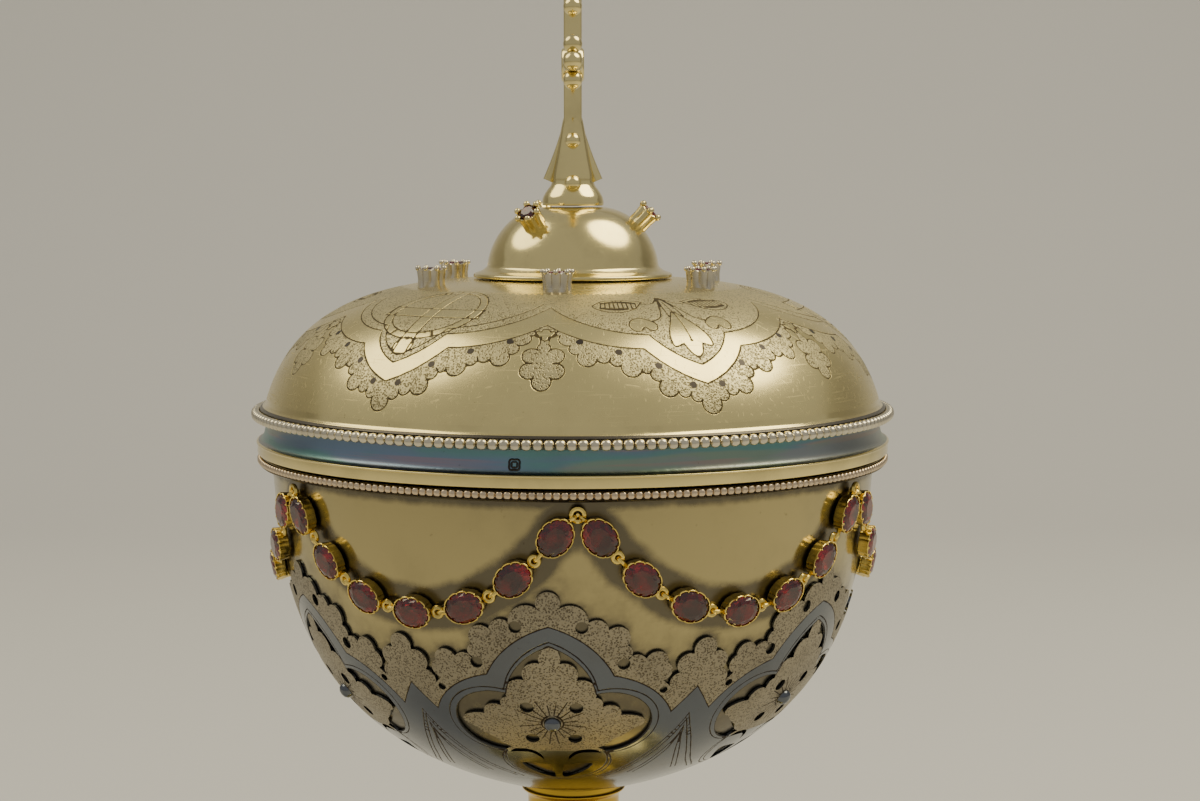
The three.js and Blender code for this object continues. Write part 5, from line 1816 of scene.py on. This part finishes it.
def cone_leaf(turn_by, cross):
    """A drooping leaf on the cone: a rounded ridge that swells outwards from the cone's neck to its tip."""
    t = np.linspace(0, 1, 18)
    radius = 2.0 + 3.6 * t**1.25
    height = cross.cone_height - 1.6 - (cross.cone_height - 1.6 - 4.6) * t
    size = 0.35 + 1.0 * t * (1.25 - t * 0.55)
    out = np.array([math.cos(turn_by), math.sin(turn_by), 0])
    path = (radius - size)[:, None] * out + height[:, None] * np.array([0, 0, 1.0])
    return wire(path, size, 16, False, out)


# The camera, solved from the ellipses of the rim and the lid: metres, degrees and millimetres of sensor
CAMERA_PLACE = (0.42, 0, 0.22527)
CAMERA_PITCH, CAMERA_YAW = 5.6686, 0.691
SENSOR_WIDTH = 36
# The lamps: their colour, the point they aim at, and the place, width and height of each
LAMP_COLOUR = (1.0, 0.91, 0.64)
LAMP_TARGET = (0, 0, 0.18)
LEFT_LAMP = (-0.15, -0.85, 1.2), 1.1, 0.95
RIGHT_LAMP = (-0.05, 0.75, 1.3), 1.15, 1.0
ROOM_COLOUR = (1.0, 0.98, 0.95, 1)


class CIBORIUM_OT_studio(bpy.types.Operator):
    """Studio: a plain pale floor, soft lights and the camera at the photograph's angle"""

    bl_idname = "ciborium.studio"
    bl_label = "Studio"

    def execute(self, context):
        studio = context.scene.ciborium_studio
        floor = bpy.data.meshes.new("floor")
        span, back, rise, bend = 5.0, 1.5, 1.4, 0.5
        t = np.linspace(0, math.pi / 2, 12)
        corner = np.column_stack([-back + bend - bend * np.sin(t), bend - bend * np.cos(t)])
        along, height = np.concatenate([[(span, 0)], corner, [(-back, rise)]]).T
        rows = [np.column_stack([along, np.full(len(along), side), height]) for side in (-span, span)]
        form = grid(np.stack(rows, axis=1) / MM)
        floor.from_pydata((form.points * MM).tolist(), [], form.faces.tolist())
        floor.polygons.foreach_set("use_smooth", np.ones(len(floor.polygons), bool))
        floor.materials.append(paper_finish(studio.floor_colour))
        sheet = bpy.data.objects.new("floor", floor)
        context.scene.collection.objects.link(sheet)
        area_light("left", *LEFT_LAMP, studio.left_power)
        area_light("right", *RIGHT_LAMP, studio.right_power)
        world = bpy.data.worlds.new("room")
        world.use_nodes = True
        room = world.node_tree.nodes["Background"]
        room.inputs["Color"].default_value = ROOM_COLOUR
        room.inputs["Strength"].default_value = studio.surround
        context.scene.world = world
        camera = bpy.data.objects.new("camera", bpy.data.cameras.new("camera"))
        camera.data.lens = studio.focal_length
        camera.data.sensor_width = SENSOR_WIDTH
        camera.data.clip_start = 0.01
        pitch, yaw = math.radians(CAMERA_PITCH), math.radians(CAMERA_YAW)
        view = Vector((-math.cos(yaw) * math.cos(pitch), math.sin(yaw) * math.cos(pitch), -math.sin(pitch)))
        camera.location = CAMERA_PLACE
        camera.rotation_euler = view.to_track_quat("-Z", "Y").to_euler()
        context.scene.collection.objects.link(camera)
        context.scene.camera = camera
        return {"FINISHED"}


def area_light(name, where, width, height, power):
    """A soft oval lamp that is turned to the middle of the ciborium."""
    light = bpy.data.lights.new(name, "AREA")
    light.shape = "ELLIPSE"
    light.color = LAMP_COLOUR
    light.size, light.size_y = width, height
    light.energy = power
    lamp = bpy.data.objects.new(name, light)
    lamp.location = where
    lamp.rotation_euler = (Vector(LAMP_TARGET) - Vector(where)).to_track_quat("-Z", "Y").to_euler()
    bpy.context.scene.collection.objects.link(lamp)


def paper_finish(colour):
    """Paper: a matt pale sheet with the faintest mottling."""
    material = bpy.data.materials.new("floor_paper")
    material.use_nodes = True
    tree = material.node_tree
    shader = tree.nodes["Principled BSDF"]
    nodes = Nodes(tree)
    place = nodes.add("TexCoord").outputs["Object"]
    mottle = nodes.add("TexNoise", Vector=place, Scale=6.0, Detail=4.0)
    darker = tuple(part * 0.97 for part in colour)
    tree.links.new(nodes.mix(mottle.outputs["Fac"], (*colour, 1), (*darker, 1)), shader.inputs["Base Color"])
    shader.inputs["Roughness"].default_value = 0.85
    return material


class CIBORIUM_PT_panel(bpy.types.Panel):
    """The ciborium's sizes, colours and pieces in the sidebar"""

    bl_idname = "CIBORIUM_PT_panel"
    bl_label = "Ciborium"
    bl_space_type = "VIEW_3D"
    bl_region_type = "UI"
    bl_category = "Ciborium"

    def draw(self, context):
        layout = self.layout
        for group_name, group_class in GROUPS_OF_SIZES.items():
            box = layout.box()
            box.label(text=group_class.__doc__)
            owner = getattr(context.scene, group_name)
            for name in group_class.__annotations__:
                box.prop(owner, name)
        for operator in OPERATORS:
            layout.operator(operator.bl_idname)


GROUPS_OF_SIZES = {
    "ciborium_cup": CiboriumCupSizes,
    "ciborium_calyx": CiboriumCalyxSizes,
    "ciborium_garland": CiboriumGarlandSizes,
    "ciborium_lid": CiboriumLidSizes,
    "ciborium_boss": CiboriumBossSizes,
    "ciborium_cross": CiboriumCrossSizes,
    "ciborium_stem": CiboriumStemSizes,
    "ciborium_finishes": CiboriumFinishes,
    "ciborium_studio": CiboriumStudio,
}
OPERATORS = [
    CIBORIUM_OT_studio,
    CIBORIUM_OT_foot,
    CIBORIUM_OT_knop,
    CIBORIUM_OT_collar,
    CIBORIUM_OT_cup,
    CIBORIUM_OT_calyx,
    CIBORIUM_OT_garland,
    CIBORIUM_OT_lid,
    CIBORIUM_OT_boss,
    CIBORIUM_OT_cross,
]


def register():
    for piece in [*GROUPS_OF_SIZES.values(), *OPERATORS, CIBORIUM_PT_panel]:
        bpy.utils.register_class(piece)
    for name, group_class in GROUPS_OF_SIZES.items():
        setattr(bpy.types.Scene, name, PointerProperty(type=group_class))


def unregister():
    for name in GROUPS_OF_SIZES:
        delattr(bpy.types.Scene, name)
    for piece in reversed([*GROUPS_OF_SIZES.values(), *OPERATORS, CIBORIUM_PT_panel]):
        bpy.utils.unregister_class(piece)


def main():
    register()
    for operator in OPERATORS:
        family, name = operator.bl_idname.split(".")
        getattr(getattr(bpy.ops, family), name)()


if __name__ == "__main__":
    main()
